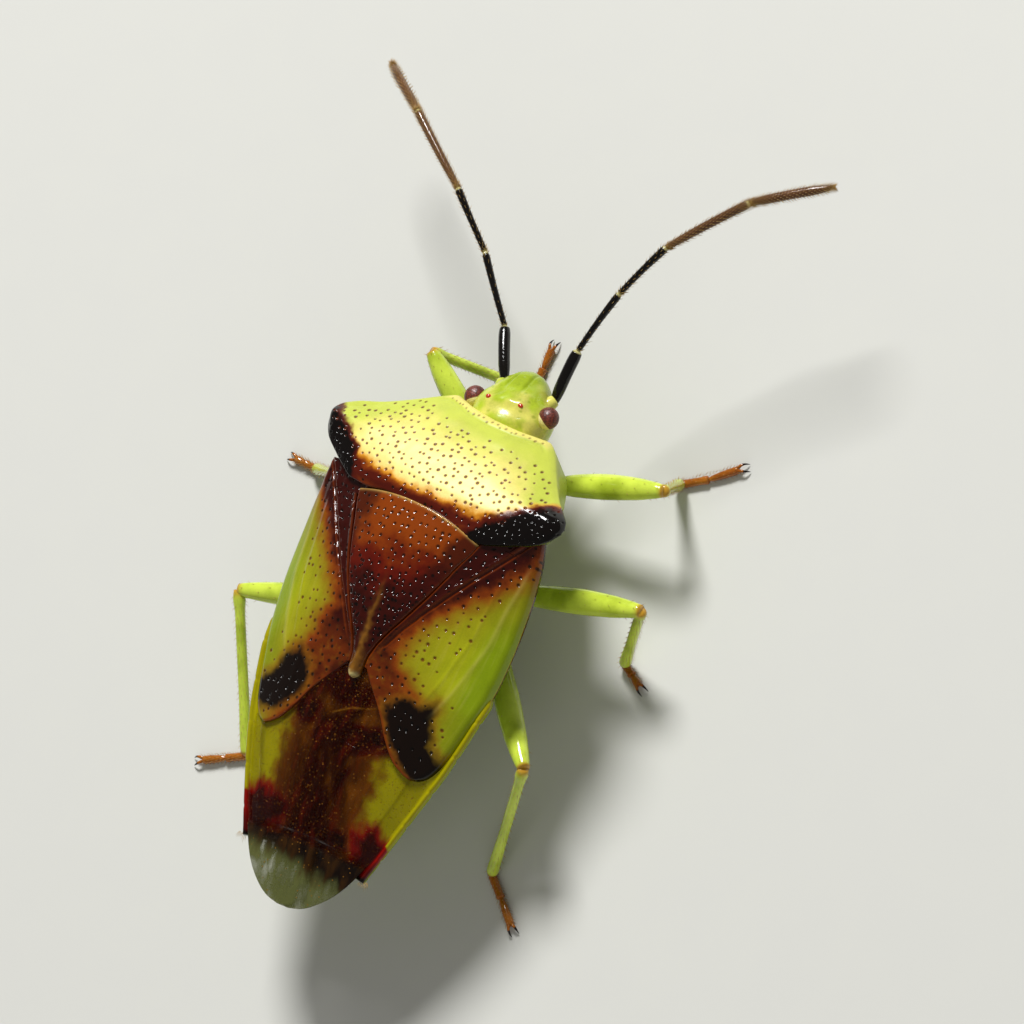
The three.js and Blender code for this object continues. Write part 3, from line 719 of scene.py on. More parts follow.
class MakeScutellum(bpy.types.Operator):
    """Adds the scutellum, a pitted triangle that narrows into a pale tongue"""

    bl_idname = "bug.scutellum"
    bl_label = "Scutellum"

    def execute(self, context):
        sizes, paints = context.scene.bug_sizes, context.scene.bug_colours
        pit = sizes.pit / MM
        u = np.linspace(1, -1, 170)
        u = (u + 0.1 * np.sin(np.pi * u) / np.pi)[None, :]
        rows = closing(SCUTELLUM_BASE, TONGUE_END, SCUTELLUM_TIP, 230, 26, 0.02)
        half = scutellum_half(rows)
        side, bulge = u * half, 1 - u**2
        ahead = rows + bulge * 0.2 * step(-1.7, SCUTELLUM_BASE, rows)
        ahead = ahead - SCUTELLUM_SLANT * side * step(-2.6, SCUTELLUM_BASE, rows)
        edge = (1 - np.abs(u)) * half
        base_edge = SCUTELLUM_BASE - rows + 0.001 * u
        rim = rounded(edge, 0.04) + rounded(base_edge, 0.02)
        rise = 0.04 + 0.06 * bulge + 0.05 * bell(ahead + 1.7, 0.8) * bulge
        keel = 0.02 * step(-2.2, -3.2, ahead) * bell(side, 0.06) * (1 + 0.5 * ripple(side, ahead, 0.09, 31))
        tongue = 0.02 * step(-3.2, -3.9, ahead) * bulge
        top = points(side, ahead, back_height(side, ahead) + rise + keel + tongue - rim)
        breadth = curve(MID_LINE, ahead) * (1 + 0.5 * ripple(side, ahead, 0.08, 28))
        line = bell(side + 0.035 * ripple(side, ahead, 0.25, 29), breadth)
        line = line * step(-2.0, -3.3, ahead) * (0.75 + 0.25 * ripple(side, ahead, 0.07, 30))

        def beside_line(x, y):
            return np.where((np.abs(x) < 0.1) & (y < -2.6), 0.0, 0.95)

        def at_rear(x, y):
            return 0.75 * step(-1.95, -2.5, y) * (np.abs(x) > 0.1) * (y > -3.75)

        bowl, spot = pits(side, ahead, 0.165, pit, 21, beside_line)
        rear_bowl, rear_spot = pits(side, ahead, 0.115, 0.95 * pit, 26, at_rear)
        bowl, spot = np.maximum(bowl, rear_bowl), np.maximum(spot, rear_spot)
        uneven = np.maximum(step(-1.9, -2.5, ahead), step(0.35, 0.9, side) * step(-1.35, -1.6, ahead))
        wet = 0.018 * ripple(side, ahead, 0.11, 8) * uneven
        lift = 0.005 * ripple(side, ahead, 0.3, 18) + wet * (1 - line) - bowl * sizes.pit_depth / MM
        top[..., 2] += lift * step(0.0, 0.05, edge) * step(0.0, 0.05, base_edge)
        bottom = top[:, ::-6].copy()
        bottom[..., 0] *= 0.99
        bed = back_height(bottom[..., 0], bottom[..., 1]) - 0.16
        bottom[..., 2] = np.minimum(bed, bottom[..., 2] - 0.08)
        grid = np.concatenate([top, bottom], axis=1)
        front_rim = bell(base_edge, 0.036) * (0.7 + 0.3 * ripple(side, ahead, 0.3, 23))
        part = loft(
            grid,
            pit=over(top, bottom, spot),
            mid=over(top, bottom, line),
            ahead=grid[..., 1],
            side=grid[..., 0],
            rim=over(top, bottom, front_rim),
            hem=over(top, bottom, bell(edge, 0.028)),
        )
        material = shell("Scutellum", self.base, paints, bump=0.15)
        piece("scutellum_plate", [part], ["scutellum"], material)
        return {"FINISHED"}

    def base(self, shader, paints):
        """Chestnut in front to wine at the rear, darker at the sides, with a pale mid line, tip and rim."""
        mask, ramp, times, plus = shader.mask, shader.ramp, shader.times, shader.plus
        waver = times(shader.waver(2600.0), 1.3)
        ahead = plus(mask("ahead"), waver)
        left = plus(mask("side"), times(waver, 0.5))
        right = plus(left, times(mask("ahead"), -0.5))
        tip = times(ramp(mask("ahead"), -4.0, -4.12), ramp(shader.noise(7000.0), 0.35, 0.65, 0.1, 0.6))
        return shader.layers(
            paints.chestnut,
            (ramp(ahead, -1.3, -2.05), paints.russet),
            (ramp(ahead, -1.95, -2.6), paints.wine),
            (ramp(left, -0.75, -1.1, 0.0, 0.8), paints.wine),
            (ramp(right, 1.5, 1.75, 0.0, 0.85), paints.wine),
            (times(mask("pit"), 0.8), paints.soot),
            (times(mask("hem"), 0.35), paints.rust),
            (times(mask("mid"), 0.8), paints.tan),
            (ramp(ahead, -3.7, -4.15, 0.0, 0.55), paints.tan),
            (tip, paints.cream),
            (times(mask("rim"), 0.9), paints.gold),
        )


# Wings

COSTA = [
    (-0.4, 2.4), (-1, 2.5), (-1.7, 2.54), (-2.4, 2.55), (-3.1, 2.52), (-3.6, 2.46), (-4.2, 2.33),
    (-4.7, 2.2), (-5.05, 2.09), (-5.3, 1.95), (-5.42, 1.8), (-5.46, 1.66),
]
CLAVAL_SUTURE = [
    (-0.4, 2.4), (-0.7, 2.2), (-1.2, 1.87), (-1.6, 1.6), (-2.25, 1.17), (-2.95, 0.7), (-3.25, 0.51),
    (-3.6, 0.28),
]
RADIAL_VEIN = [
    (-0.4, 2.42), (-1.3, 2.35), (-1.95, 2.26), (-2.6, 2.2), (-3.2, 2.05), (-3.75, 1.88), (-4.3, 1.65),
]
MEMBRANE_SUTURE = [
    (-3.9, 0.2), (-4.1, 0.36), (-4.35, 0.58), (-4.6, 0.78), (-4.9, 0.97), (-5.1, 1.12), (-5.3, 1.31),
    (-5.41, 1.5), (-5.46, 1.64),
]
WING_FRONT = -0.42
WING_ROOT = 1.2
WING_BEND = -5.2  # behind it the outer edge turns in to the rear corner
WING_END = -5.456
SEAM_START = -3.9  # from here back the inner edge follows the seam of the membrane
MEMBRANE_EDGE = [
    (-5.2, 1.92), (-5.5, 1.96), (-6.4, 1.66), (-7.05, 1.42), (-7.5, 1.22), (-7.9, 0.97), (-8.2, 0.67),
    (-8.38, 0.38), (-8.45, 0.1),
]
DARK_REACH = {
    "right": [
        (-0.4, 2.62), (-1.14, 2.39), (-1.55, 2.09), (-2.01, 1.71), (-2.49, 1.23), (-3.04, 0.83),
        (-3.28, 0.71), (-3.48, 0.7), (-3.63, 0.8), (-3.83, 1.02), (-4.11, 1.28), (-5.5, 1.4),
    ],
    "left": [
        (-0.4, 2.62), (-0.9, 2.55), (-1.24, 2.26), (-1.59, 1.95), (-1.94, 1.69), (-2.28, 1.41),
        (-2.61, 1.15), (-2.95, 0.95), (-3.22, 1.05), (-3.69, 1.19), (-3.98, 1.37), (-5.5, 1.4),
    ],
}
PATCH = {
    "right": [
        (0.81, -4.39), (0.98, -4.29), (1.23, -4.13), (1.5, -4.18), (1.71, -4.0), (1.73, -4.22),
        (1.79, -4.56), (1.82, -4.78), (1.96, -4.87), (2.06, -4.98), (2.3, -4.8), (2.2, -5.1),
        (2.05, -5.4), (1.83, -5.5), (1.59, -5.4), (1.4, -5.28), (1.19, -5.06), (0.98, -4.76),
        (0.86, -4.58),
    ],
    "left": [
        (2.4, -4.82), (2.09, -4.66), (1.82, -4.47), (1.68, -4.19), (1.5, -4.02), (1.32, -3.97),
        (1.16, -4.07), (0.99, -4.27), (0.95, -4.45), (1.04, -4.71), (1.2, -4.94), (1.42, -5.12),
        (1.7, -5.2), (1.98, -5.15), (2.4, -5.05),
    ],
}


def wing_inner(ahead):
    """Inner limit of the leathery wing: the scutellum's side, then the seam of the membrane."""
    beside = scutellum_half(np.maximum(ahead, TONGUE_END)) + 0.004
    inner = np.where(ahead > SCUTELLUM_BASE, WING_ROOT, beside)
    return np.where(ahead < SEAM_START, np.maximum(inner, curve(MEMBRANE_SUTURE, ahead)), inner)


class MakeWings(bpy.types.Operator):
    """Adds the leathery part of each wing, with its clavus, veins, pits and dark corner patch"""

    bl_idname = "bug.wings"
    bl_label = "Wings"

    def execute(self, context):
        sizes, paints = context.scene.bug_sizes, context.scene.bug_colours
        material = shell("Wing", self.base, paints, bump=0.12)
        for name, hand in HANDS.items():
            piece("wing_" + name, [self.wing(sizes, name, hand)], ["corium_" + name], material)
        return {"FINISHED"}

    def wing(self, sizes, name, hand):
        """Rows at constant ahead, from the outer edge to the inner one and back below."""
        pit = sizes.pit / MM
        rows = closing(WING_FRONT, WING_BEND, WING_END, 330, 24)
        t = np.linspace(0, 1, 132)
        t = (t - 0.1 * np.sin(2 * np.pi * t) / (2 * np.pi))[None, :]
        outer, inner = curve(COSTA, rows), wing_inner(rows)
        side, ahead = np.broadcast_arrays(outer + (inner - outer) * t, rows)
        outer_edge, inner_edge = outer - side, side - inner
        seam = distance(side, ahead, [(s, a) for a, s in MEMBRANE_SUTURE])
        clavus = (side - curve(CLAVAL_SUTURE, ahead)) * 0.83
        beyond = side - curve(RADIAL_VEIN, ahead)
        vein = np.abs(beyond)
        vein_there = step(-0.9, -1.4, ahead) * step(-4.4, -3.8, ahead)
        clavus_there = step(-3.62, -3.3, ahead)
        by_plate = ahead > SEAM_START
        relief = (
            -0.03 * bell(clavus, 0.025) * clavus_there
            + 0.02 * bell(clavus + 0.06, 0.03) * clavus_there
            + 0.02 * bell(inner_edge - 0.05, 0.03) * by_plate
            + 0.012 * bell(vein, 0.06) * vein_there
            + 0.01 * bell(vein - 0.28, 0.04) * vein_there * (beyond < 0)
        )
        dark = side - curve(DARK_REACH[name], ahead)
        patch = inside(side, ahead, PATCH[name])

        def on_corium(x, y):
            off = x - curve(DARK_REACH[name], y) - 0.15
            return np.where(off < 0, 0.95, 0.75 * step(0.95, 0.3, off) * step(2.3, 2.05, x))

        bowl, spot = pits(side, ahead, 0.185, 0.95 * pit, 40 + hand, on_corium)
        row_bowl, row_spot = pits(clavus + 0.5, ahead, 0.13, 0.85 * pit, 52 + hand, 0.92)
        on_clavus = step(0.0, -0.05, clavus)
        keep = (1 - bell(clavus, 0.035) * (ahead > -3.6)) * step(0.02, 0.08, inner_edge)
        bowl = (bowl * (1 - on_clavus) + row_bowl * on_clavus) * keep
        spot = (spot * (1 - on_clavus) + row_spot * on_clavus) * keep
        bowl = bowl * (1 + 0.6 * step(-0.1, 0.1, patch))
        wet = 0.012 * ripple(side * hand, ahead, 0.12, 75) * step(0.1, -0.1, dark)
        lift = relief + wet + 0.005 * ripple(side * hand, ahead, 0.3, 70) - bowl * sizes.pit_depth / MM
        edge = np.minimum(outer_edge, np.minimum(inner_edge, seam + 0.02))
        fall = 1.1 * rounded(outer_edge, 0.12) + rounded(inner_edge, 0.03)
        fall = fall + rounded(seam + 0.01, 0.02) * (ahead < SEAM_START)
        top = points(side, ahead, back_height(side, ahead) - fall + lift * step(0.0, 0.05, edge))
        t = np.linspace(1, 0, 12)[None, :]
        low = outer + (inner - outer) * t + 0.012 * (1 - 2 * t)
        sunk = back_height(low, rows) - 1.1 * rounded(outer - low, 0.12) - sizes.skin / MM
        bottom = points(low, rows, sunk)
        grid = np.concatenate([top, bottom], axis=1)
        grid[..., 0] *= hand

        def held(value):
            """A mask whose value at the inner edge goes on below."""
            return over(top, bottom, value, value[:, -1:])

        suture = bell(np.abs(clavus) - 0.035, 0.018) * clavus_there
        return loft(
            grid,
            pit=over(top, bottom, spot),
            dark=held(dark * 0.8),
            patch=held(patch),
            seam=held(seam),
            ahead=grid[..., 1],
            outer=held(outer_edge),
            vein=over(top, bottom, bell(vein, 0.035) * vein_there),
            line=over(top, bottom, np.maximum(suture, bell(inner_edge - 0.04, 0.02) * by_plate)),
        )

    def base(self, shader, paints):
        """Green with faint strands, through olive, amber and rust to the dark inner part and patch."""
        mask, ramp, times, plus = shader.mask, shader.ramp, shader.times, shader.plus
        grain = shader.waver(3600.0)
        ahead, outer = mask("ahead"), mask("outer")
        strand = shader.noise(1.0, 3.0, shader.plane(times(outer, 9.0), times(ahead, 0.5)))
        inward, patch = plus(mask("dark"), times(grain, 0.34)), plus(mask("patch"), times(grain, 0.32))
        mottle = shader.layers(
            paints.ember,
            (ramp(shader.noise(8000.0, 4.0), 0.45, 0.75, 0.0, 0.6), paints.amber),
            (ramp(shader.noise(1500.0), 0.42, 0.62, 0.0, 0.8), paints.wine),
        )
        deep = shader.blend(ramp(ahead, -3.1, -3.8, 0.0, 0.75), paints.wine, mottle)
        in_dark = shader.most(ramp(inward, 0.2, 0.0), ramp(patch, -0.2, 0.0))
        pigment = shader.blend(in_dark, paints.pit, paints.soot)
        rim = times(ramp(mask("seam"), 0.08, 0.02), ramp(ahead, -4.2, -4.6))
        return shader.layers(
            paints.leaf,
            (ramp(outer, 0.7, 0.25), paints.grass),
            (ramp(strand, 0.5, 0.75, 0.0, 0.12), paints.ivory),
            (ramp(strand, 0.45, 0.25, 0.0, 0.4), paints.grass),
            (ramp(mask("dark"), 1.1, 0.2, 0.0, 0.7), paints.olive),
            (ramp(inward, 0.4, 0.0, 0.0, 0.9), paints.amber),
            (ramp(inward, 0.13, -0.08), paints.rust),
            (ramp(inward, 0.02, -0.22), deep),
            (ramp(patch, -0.24, -0.02, 0.0, 0.7), paints.amber),
            (ramp(patch, -0.12, 0.1), paints.umber),
            (times(mask("pit"), 0.85), pigment),
            (times(mask("line"), 0.4), paints.rust),
            (times(mask("vein"), 0.13), paints.ivory),
            (times(rim, 0.8), paints.ember),
        )


# Membranes

# the orange arcs that show through the film
FILM_LINES = [
    [(-0.15, -4.86), (0.2, -4.67), (0.54, -4.57), (0.8, -4.45)],
    [(0.48, -5.61), (0.8, -5.38), (1.08, -5.09)],
]
FILM_START = -3.9
FILM_BEND = -8.1  # behind it the rows close up to the round end
FILM_END = -8.445
FILM_TUCK = 0.12  # how far the film reaches under the leathery part
FILM_SINK = {"right": 0.015, "left": 0.0}


class MakeMembranes(bpy.types.Operator):
    """Adds the two smoky wing membranes, the left one lapped over the right"""

    bl_idname = "bug.membranes"
    bl_label = "Membranes"

    def execute(self, context):
        sizes, paints = context.scene.bug_sizes, context.scene.bug_colours
        material = self.material(paints)
        for name, hand in HANDS.items():
            part = self.film(hand, FILM_SINK[name], sizes.film / MM)
            piece("film_" + name, [part], ["membrane_" + name], material)
        return {"FINISHED"}

    def material(self, paints):
        """A clear film with smoke, dark clouds, flecks and dust, each of which also covers a little, and
        dark outer rear corners that are partly a smoky spot and partly painted shadow.
        """
        shader = Shader("Membrane")
        mask, ramp, times, plus = shader.mask, shader.ramp, shader.times, shader.plus
        ahead, side = mask("ahead"), mask("side")
        cloud = shader.noise(1.6, 6.0, shader.plane(times(side, 3.0), ahead))
        waver = times(shader.math("SUBTRACT", cloud, 0.5), 0.9)
        off_middle = plus(shader.size(side), waver)
        dark = shader.most(ramp(off_middle, 1.1, 0.6), ramp(plus(ahead, waver), -5.3, -4.7))
        # outer rear corners: a smoky spot that also stands in for the shadow under the film's corner
        # (painted shadow)
        corner = times(ramp(off_middle, 0.75, 1.0), ramp(ahead, -7.2, -7.45))
        corner = times(corner, ramp(ahead, -7.95, -7.7))
        rear = ramp(ahead, -7.3, -7.7)
        flecks = ramp(shader.noise(24000.0, 2.0), 0.62, 0.7)
        dust = shader.specks(0.11, 0.015)
        drift = plus(times(side, 0.2), plus(times(waver, 0.9), ahead))
        smoky = times(ramp(drift, -7.92, -7.45), ramp(ahead, -7.15, -7.35))
        tint = shader.layers(
            paints.smoke,
            (ramp(cloud, 0.5, 0.7), paints.earth),
            # umber at the outer rear corners, partly painted shadow
            (corner, paints.umber),
            (times(flecks, 0.5), paints.amber),
            (rear, paints.glass),
            (smoky, shader.blend(ramp(cloud, 0.4, 0.65, 0.0, 0.12), paints.umber, paints.amber)),
            (mask("arc"), paints.amber),
            (times(dust, 0.8), paints.tan),
        )
        cover = plus(times(times(dark, ramp(cloud, 0.3, 0.6)), 0.4), 0.06)
        # the corners cover more: smoky spot and painted shadow
        cover = plus(plus(cover, times(rear, 0.4)), times(corner, 0.55))
        covers = ((mask("vein"), 0.15), (flecks, 0.3), (dust, 0.5), (smoky, 0.7), (mask("arc"), 0.5))
        for share, weight in covers:
            cover = plus(cover, times(share, weight), clamp=True)
        cover = times(cover, ramp(mask("inner"), 0.0, 0.25))
        shader.bump(shader.noise(14000.0, 4.0), 0.4)
        return shader.finish(Base_Color=tint, Alpha=cover, Roughness=0.18, Specular_IOR_Level=0.3)

    def film(self, hand, sink, thick):
        """Rows at constant ahead from the outer edge across the middle, with raised veins in a fan."""
        rows = closing(FILM_START, FILM_BEND, FILM_END, 170, 24)
        t = np.linspace(0, 1, 110)[None, :]
        tucked = np.minimum(curve(MEMBRANE_SUTURE, rows) + FILM_TUCK, 1.72)
        outer = np.where(rows > -5.3, tucked, curve(MEMBRANE_EDGE, rows))
        lap = np.minimum(0.5, outer * 0.8) * np.minimum(1, np.abs(rows + 3.3) / 0.6)
        side, ahead = np.broadcast_arrays(outer + (-lap - outer) * t, rows)
        fan = side / np.maximum(outer, 0.2) * 3.5 + 0.25 * ripple(side, ahead, 1.2, 95 + hand)
        vein = bell(fan - np.round(fan), 0.06) * step(-4.6, -5.2, ahead) * step(-8.2, -7.6, ahead)
        crease = 0.01 * ripple(side * 3, ahead, 0.5, 90 + hand) + 0.005 * ripple(side, ahead * 2, 0.12, 92)
        relief = (0.01 * vein + crease) * (0.12 + 0.88 * step(-7.4, -7.0, ahead))
        hidden = step(0.01, 0.07, side - curve(MEMBRANE_SUTURE, ahead)) * step(-5.5, -5.44, ahead)
        top = points(side, ahead, back_height(side, ahead) - sink - 0.05 * hidden + relief - 0.016)
        bottom = top[:, ::-1].copy()
        bottom[..., 2] -= thick
        grid = np.concatenate([top, bottom], axis=1)
        grid[..., 0] *= hand
        gap = np.min([distance(side * hand, ahead, line) for line in FILM_LINES], axis=0)
        arc = bell(gap, 0.018) * (0.55 + 0.45 * ripple(side, ahead, 0.05, 97)) * step(-5.9, -4.7, ahead)
        masks = {"vein": vein, "inner": side + lap, "arc": arc}
        masks = {key: over(top, bottom, value, value[:, ::-1]) for key, value in masks.items()}
        return loft(grid, ahead=grid[..., 1], side=grid[..., 0], **masks)


# Abdomen and breast

BELLY = [(-2.4, 0.1), (-3.6, -0.05), (-5, 0.02), (-6.4, 0.34), (-7.5, 0.8)]
RINGS = [-3.2, -4.0, -4.75, -5.5, -6.25, -7.0]
ABDOMEN_FRONT = [(-2.3, 2.1), (-3.4, 2.44), (-4, 2.6)]
SPINE = [(0, -2.9, 0.12), (0, -2.6, -0.08), (0, -2.2, -0.2), (0, -1.9, -0.22)]
# dark clouds of the back: side, ahead, half width, half length and weight
CLOUDS = [
    (0.45, -5.1, 0.6, 0.28, 1.0),
    (0.85, -4.95, 0.3, 0.25, 0.9),
    (-0.35, -5.3, 0.22, 0.22, 0.8),
    (0.18, -5.4, 0.12, 0.2, 1.2),
    (0.0, -4.4, 0.9, 0.3, 0.62),
    (-0.75, -4.97, 0.26, 0.23, 1.0),
    (0.48, -6.0, 0.11, 0.4, 0.85),
    (-0.26, -6.0, 0.14, 0.4, 0.6),
    (0.1, -6.6, 0.28, 0.32, 1.1),
    (0.98, -7.0, 0.5, 0.22, 1.1),
    (0.25, -7.05, 0.5, 0.22, 1.1),
    (-0.45, -7.1, 0.5, 0.2, 1.0),
    (-1.1, -7.0, 0.35, 0.22, 0.9),
]
RED_CORNERS = [
    [
        (-1.75, -6.73), (-1.22, -6.52), (-0.98, -6.56), (-0.56, -6.67), (-0.46, -6.87), (-0.64, -7.1),
        (-1.34, -7.6), (-1.75, -7.6),
    ],
    [(0.96, -6.74), (1.3, -6.56), (1.75, -6.8), (1.75, -7.6), (1.2, -7.6), (1.0, -7.3)],
]
TAIL_HAIRS = 7  # on each side


class MakeAbdomen(bpy.types.Operator):
    """Adds the abdomen: a dark back under the wings, a green rim and a ringed belly"""

    bl_idname = "bug.abdomen"
    bl_label = "Abdomen"

    def execute(self, context):
        paints = context.scene.bug_colours
        rows = np.linspace(-2.3, -7.5, 260)[:, None]
        u = np.linspace(1, -1, 151)[None, :]
        half = np.minimum(curve(RIM_HALF, rows), curve(ABDOMEN_FRONT, rows)) + 0.02
        rim = curve(RIM_HEIGHT, rows) - 0.1 * step(-4.2, -3.4, rows)
        ring = sum(bell(rows - r, 0.035) for r in RINGS)
        side = u * (half - 0.006 * ring)

        def end(across):
            """The rear edge is hollowed between its corners."""
            return rows + (1 - across**2) * 0.3 * step(-7.0, -7.5, rows)

        bed = back_height(side, rows) - 0.1
        shelf = step(0.14, 0.06, half - np.abs(side))
        up = bed + (rim + 0.02 - bed) * shelf - 0.012 * ring * shelf - rounded((1 - np.abs(u)) * half, 0.05)
        top = points(side, end(u), up)
        v = np.linspace(-1, 1, 190)[None, 1:-1]
        belly = curve(BELLY, rows)
        low = belly + (rim - 0.12 - belly) * np.abs(v) ** 2.3
        keel = 0.12 * bell(v * half, 0.15) * step(-5.0, -3.0, rows)
        bottom = points(v * (half - 0.012 * ring), end(v), low - keel + 0.02 * ring)
        grid = np.concatenate([top, bottom], axis=1)
        x, y = grid[..., 0], grid[..., 1]
        bent_x, bent_y = x + 0.12 * ripple(x, y, 0.4, 81), y + 0.12 * ripple(x, y, 0.4, 82)
        cloud = np.zeros_like(x)
        for across, along, wide, long, weight in CLOUDS:
            cloud = np.maximum(cloud, weight * bell(bent_x - across, wide, bent_y - along, long))
        breaths = [np.hypot(np.abs(x) / half - 0.86, (y - r + 0.36) / 2.2) for r in RINGS[:-1]]
        under = over(top, bottom, 0.0, 1.0)
        part = loft(
            grid,
            ahead=y,
            side=np.abs(x),
            under=under,
            edge=over(top, bottom, half - np.abs(side), (1 - np.abs(v)) * half),
            cloud=cloud,
            red=np.maximum(inside(x, y, RED_CORNERS[0]), inside(x, y, RED_CORNERS[1])),
            spiracle=step(0.024, 0.016, np.min(breaths, axis=0)) * under,
        )
        spine = tube(SPINE, [0.16, 0.13, 0.07, 0.01], under=1.0)
        material = shell("Abdomen", self.base, paints, bump=0.12)
        piece("abdomen_skin", [part, spine], ["abdomen"], material)
        n = np.arange(2 * TAIL_HAIRS)
        hand, k = np.where(n < TAIL_HAIRS, 1, -1), n % TAIL_HAIRS
        seat = curve(RIM_HEIGHT, -7.5) - 0.04
        roots = points(hand * (1.47 - 0.025 * k), -7.46 - 0.02 * chance(n, k, 6), seat)
        ways = points(hand * (0.45 - 0.12 * k), -1.0, 0.15 * chance(k, n, 7))
        hairs("tail_hairs", roots, ways, 0.17, hair_material(paints), 0.007)
        return {"FINISHED"}

    def base(self, shader, paints):
        """Bronze back with dark clouds, flaming red corners and a mustard margin, and a green belly."""
        mask, ramp, times, plus = shader.mask, shader.ramp, shader.times, shader.plus
        grain = shader.waver(2600.0, 5.0)
        side, ahead, edge = mask("side"), mask("ahead"), mask("edge")
        flame = shader.waver(1.0, 4.0, shader.plane(times(side, 4.0), times(ahead, 2.2)))
        cloud, red = plus(mask("cloud"), times(grain, 0.5)), plus(mask("red"), times(flame, 0.5))
        inner = times(ramp(red, -0.06, 0.16), ramp(edge, 0.05, 0.16))
        deep = times(ramp(plus(ahead, times(flame, 0.8)), -6.6, -6.95), ramp(edge, 0.06, 0.3))
        margin = shader.layers(
            paints.mustard,
            (ramp(red, -0.02, 0.05), paints.scarlet),
            (ramp(ahead, -6.95, -7.3, 0.0, 0.8), paints.garnet),
        )
        belly = shader.layers(
            paints.grass,
            (shader.noise(1500.0), paints.lime),
            (times(shader.specks(0.2, 0.022), 0.5), paints.pit),
            (mask("spiracle"), paints.soot),
        )
        return shader.layers(
            paints.mustard,
            (ramp(plus(side, grain), 1.35, 0.85), paints.bronze),
            (ramp(cloud, 0.15, 0.5), paints.earth),
            (ramp(cloud, 0.45, 0.8), paints.soot),
            (ramp(red, -0.26, -0.04), paints.rust),
            (ramp(red, -0.1, 0.02), paints.scarlet),
            (inner, paints.garnet),
            (times(deep, ramp(red, 0.0, 0.2, 0.0, 0.5)), paints.soot),
            (ramp(edge, 0.12, 0.07), margin),
            (ramp(ahead, -7.36, -7.46), paints.soot),
            (mask("under"), belly),
        )


BREAST_HALF = [(-0.6, 2.1), (-1.2, 2.3), (-2.5, 2.34)]
BREAST_SEAMS = [
    [(-1.75, 0.2), (-1.62, 0.6), (-1.6, 1.2), (-1.7, 2.0)],
    [(-2.45, 0.55), (-2.1, 0.6), (-1.95, 0.75), (-1.9, 1.0)],
    [(-1.0, 0.2), (-0.85, 0.7), (-0.95, 1.9)],
]


class MakeBreast(bpy.types.Operator):
    """Adds the underside of the thorax with its keel"""

    bl_idname = "bug.breast"
    bl_label = "Breast"

    def execute(self, context):
        sizes, paints = context.scene.bug_sizes, context.scene.bug_colours
        rows = np.linspace(-0.6, -2.5, 170)[:, None]
        half = curve(BREAST_HALF, rows)
        u = np.linspace(1, -1, 60)[None, :]
        top = points(u * half, rows, back_height(u * half, rows) - 0.2)
        v = np.linspace(-1, 1, 300)[None, 1:-1]
        low = (back_height(half, rows) - 0.35) * np.abs(v) ** 1.8
        seam = np.min([distance(rows, low, line) for line in BREAST_SEAMS], axis=0)
        keep = step(0.45, 0.6, np.abs(v)) * step(0.05, 0.09, seam)
        bowl, spot = pits(rows, low, 0.165, sizes.pit / MM, 111, 0.85)
        relief = 0.03 * step(0.0, 0.06, seam) - bowl * keep * sizes.pit_depth / MM
        bottom = raised(points(v * half, rows, low), relief, way=-1)
        groove = over(top, bottom, 0.0, step(0.05, 0.0, seam))
        grid = np.concatenate([top, bottom], axis=1)
        body = loft(grid, pit=over(top, bottom, 0.0, spot * keep), groove=groove)
        y = np.linspace(0.6, -2.3, 40)
        path = points(0.0, y, 0.12 - 0.1 * step(0.7, 0.2, y))
        keel = tube(path, 0.26 * step(-2.4, -1.0, y) * step(0.75, 0.2, y) + 0.02, sides=24)
        piece("breast", [body, keel], ["thorax"], shell("Breast", self.base, paints))
        return {"FINISHED"}

    def base(self, shader, paints):
        return shader.layers(
            paints.lime,
            (shader.ramp(shader.noise(1600.0), 0.35, 0.65), paints.grass),
            (shader.times(shader.mask("groove"), 0.6), paints.amber),
            (shader.times(shader.mask("pit"), 0.85), paints.pit),
        )


# Head

HEAD_HALF = [
    (1.2, 0.74), (1.5, 0.78), (1.75, 0.8), (2.0, 0.72), (2.2, 0.58), (2.4, 0.46), (2.55, 0.33),
    (2.64, 0.2), (2.68, 0.06),
]
HEAD_CROWN = [(1.2, 1.72), (1.5, 1.8), (1.86, 1.8), (2.2, 1.62), (2.45, 1.42), (2.6, 1.27), (2.68, 1.1)]
HEAD_CHIN = [(1.2, 0.62), (1.86, 0.56), (2.3, 0.62), (2.55, 0.78), (2.68, 0.98)]
# low swellings and dents of the crown: height, side, ahead, half width and half length
HEAD_DENTS = [
    (0.03, 0.0, 1.5, 0.5, 0.14),
    (-0.03, 0.2, 2.0, 0.1, 0.1),
    (-0.03, 0.5, 1.95, 0.08, 0.16),
    (0.02, 0.42, 2.2, 0.1, 0.12),
]
HEAD_PIT = {"cell": 0.17, "radius": 0.03, "seed": 61}
EYE = {"side": 0.81, "ahead": 1.86, "up": 1.39, "radii": (0.21, 0.215, 0.19)}
HEAD_TURN = math.radians(3.5)  # the head is turned a little to the left, as in life
HEAD_PIVOT = (0.0, 1.86)
HEAD_BACK = 0.03


def head_turned(given):
    """Points of the head turned about its pivot and set back a little."""
    side, ahead, up = np.moveaxis(np.asarray(given, float), -1, 0)
    return points(*spun(side, ahead, HEAD_TURN, HEAD_PIVOT, -HEAD_BACK), up)


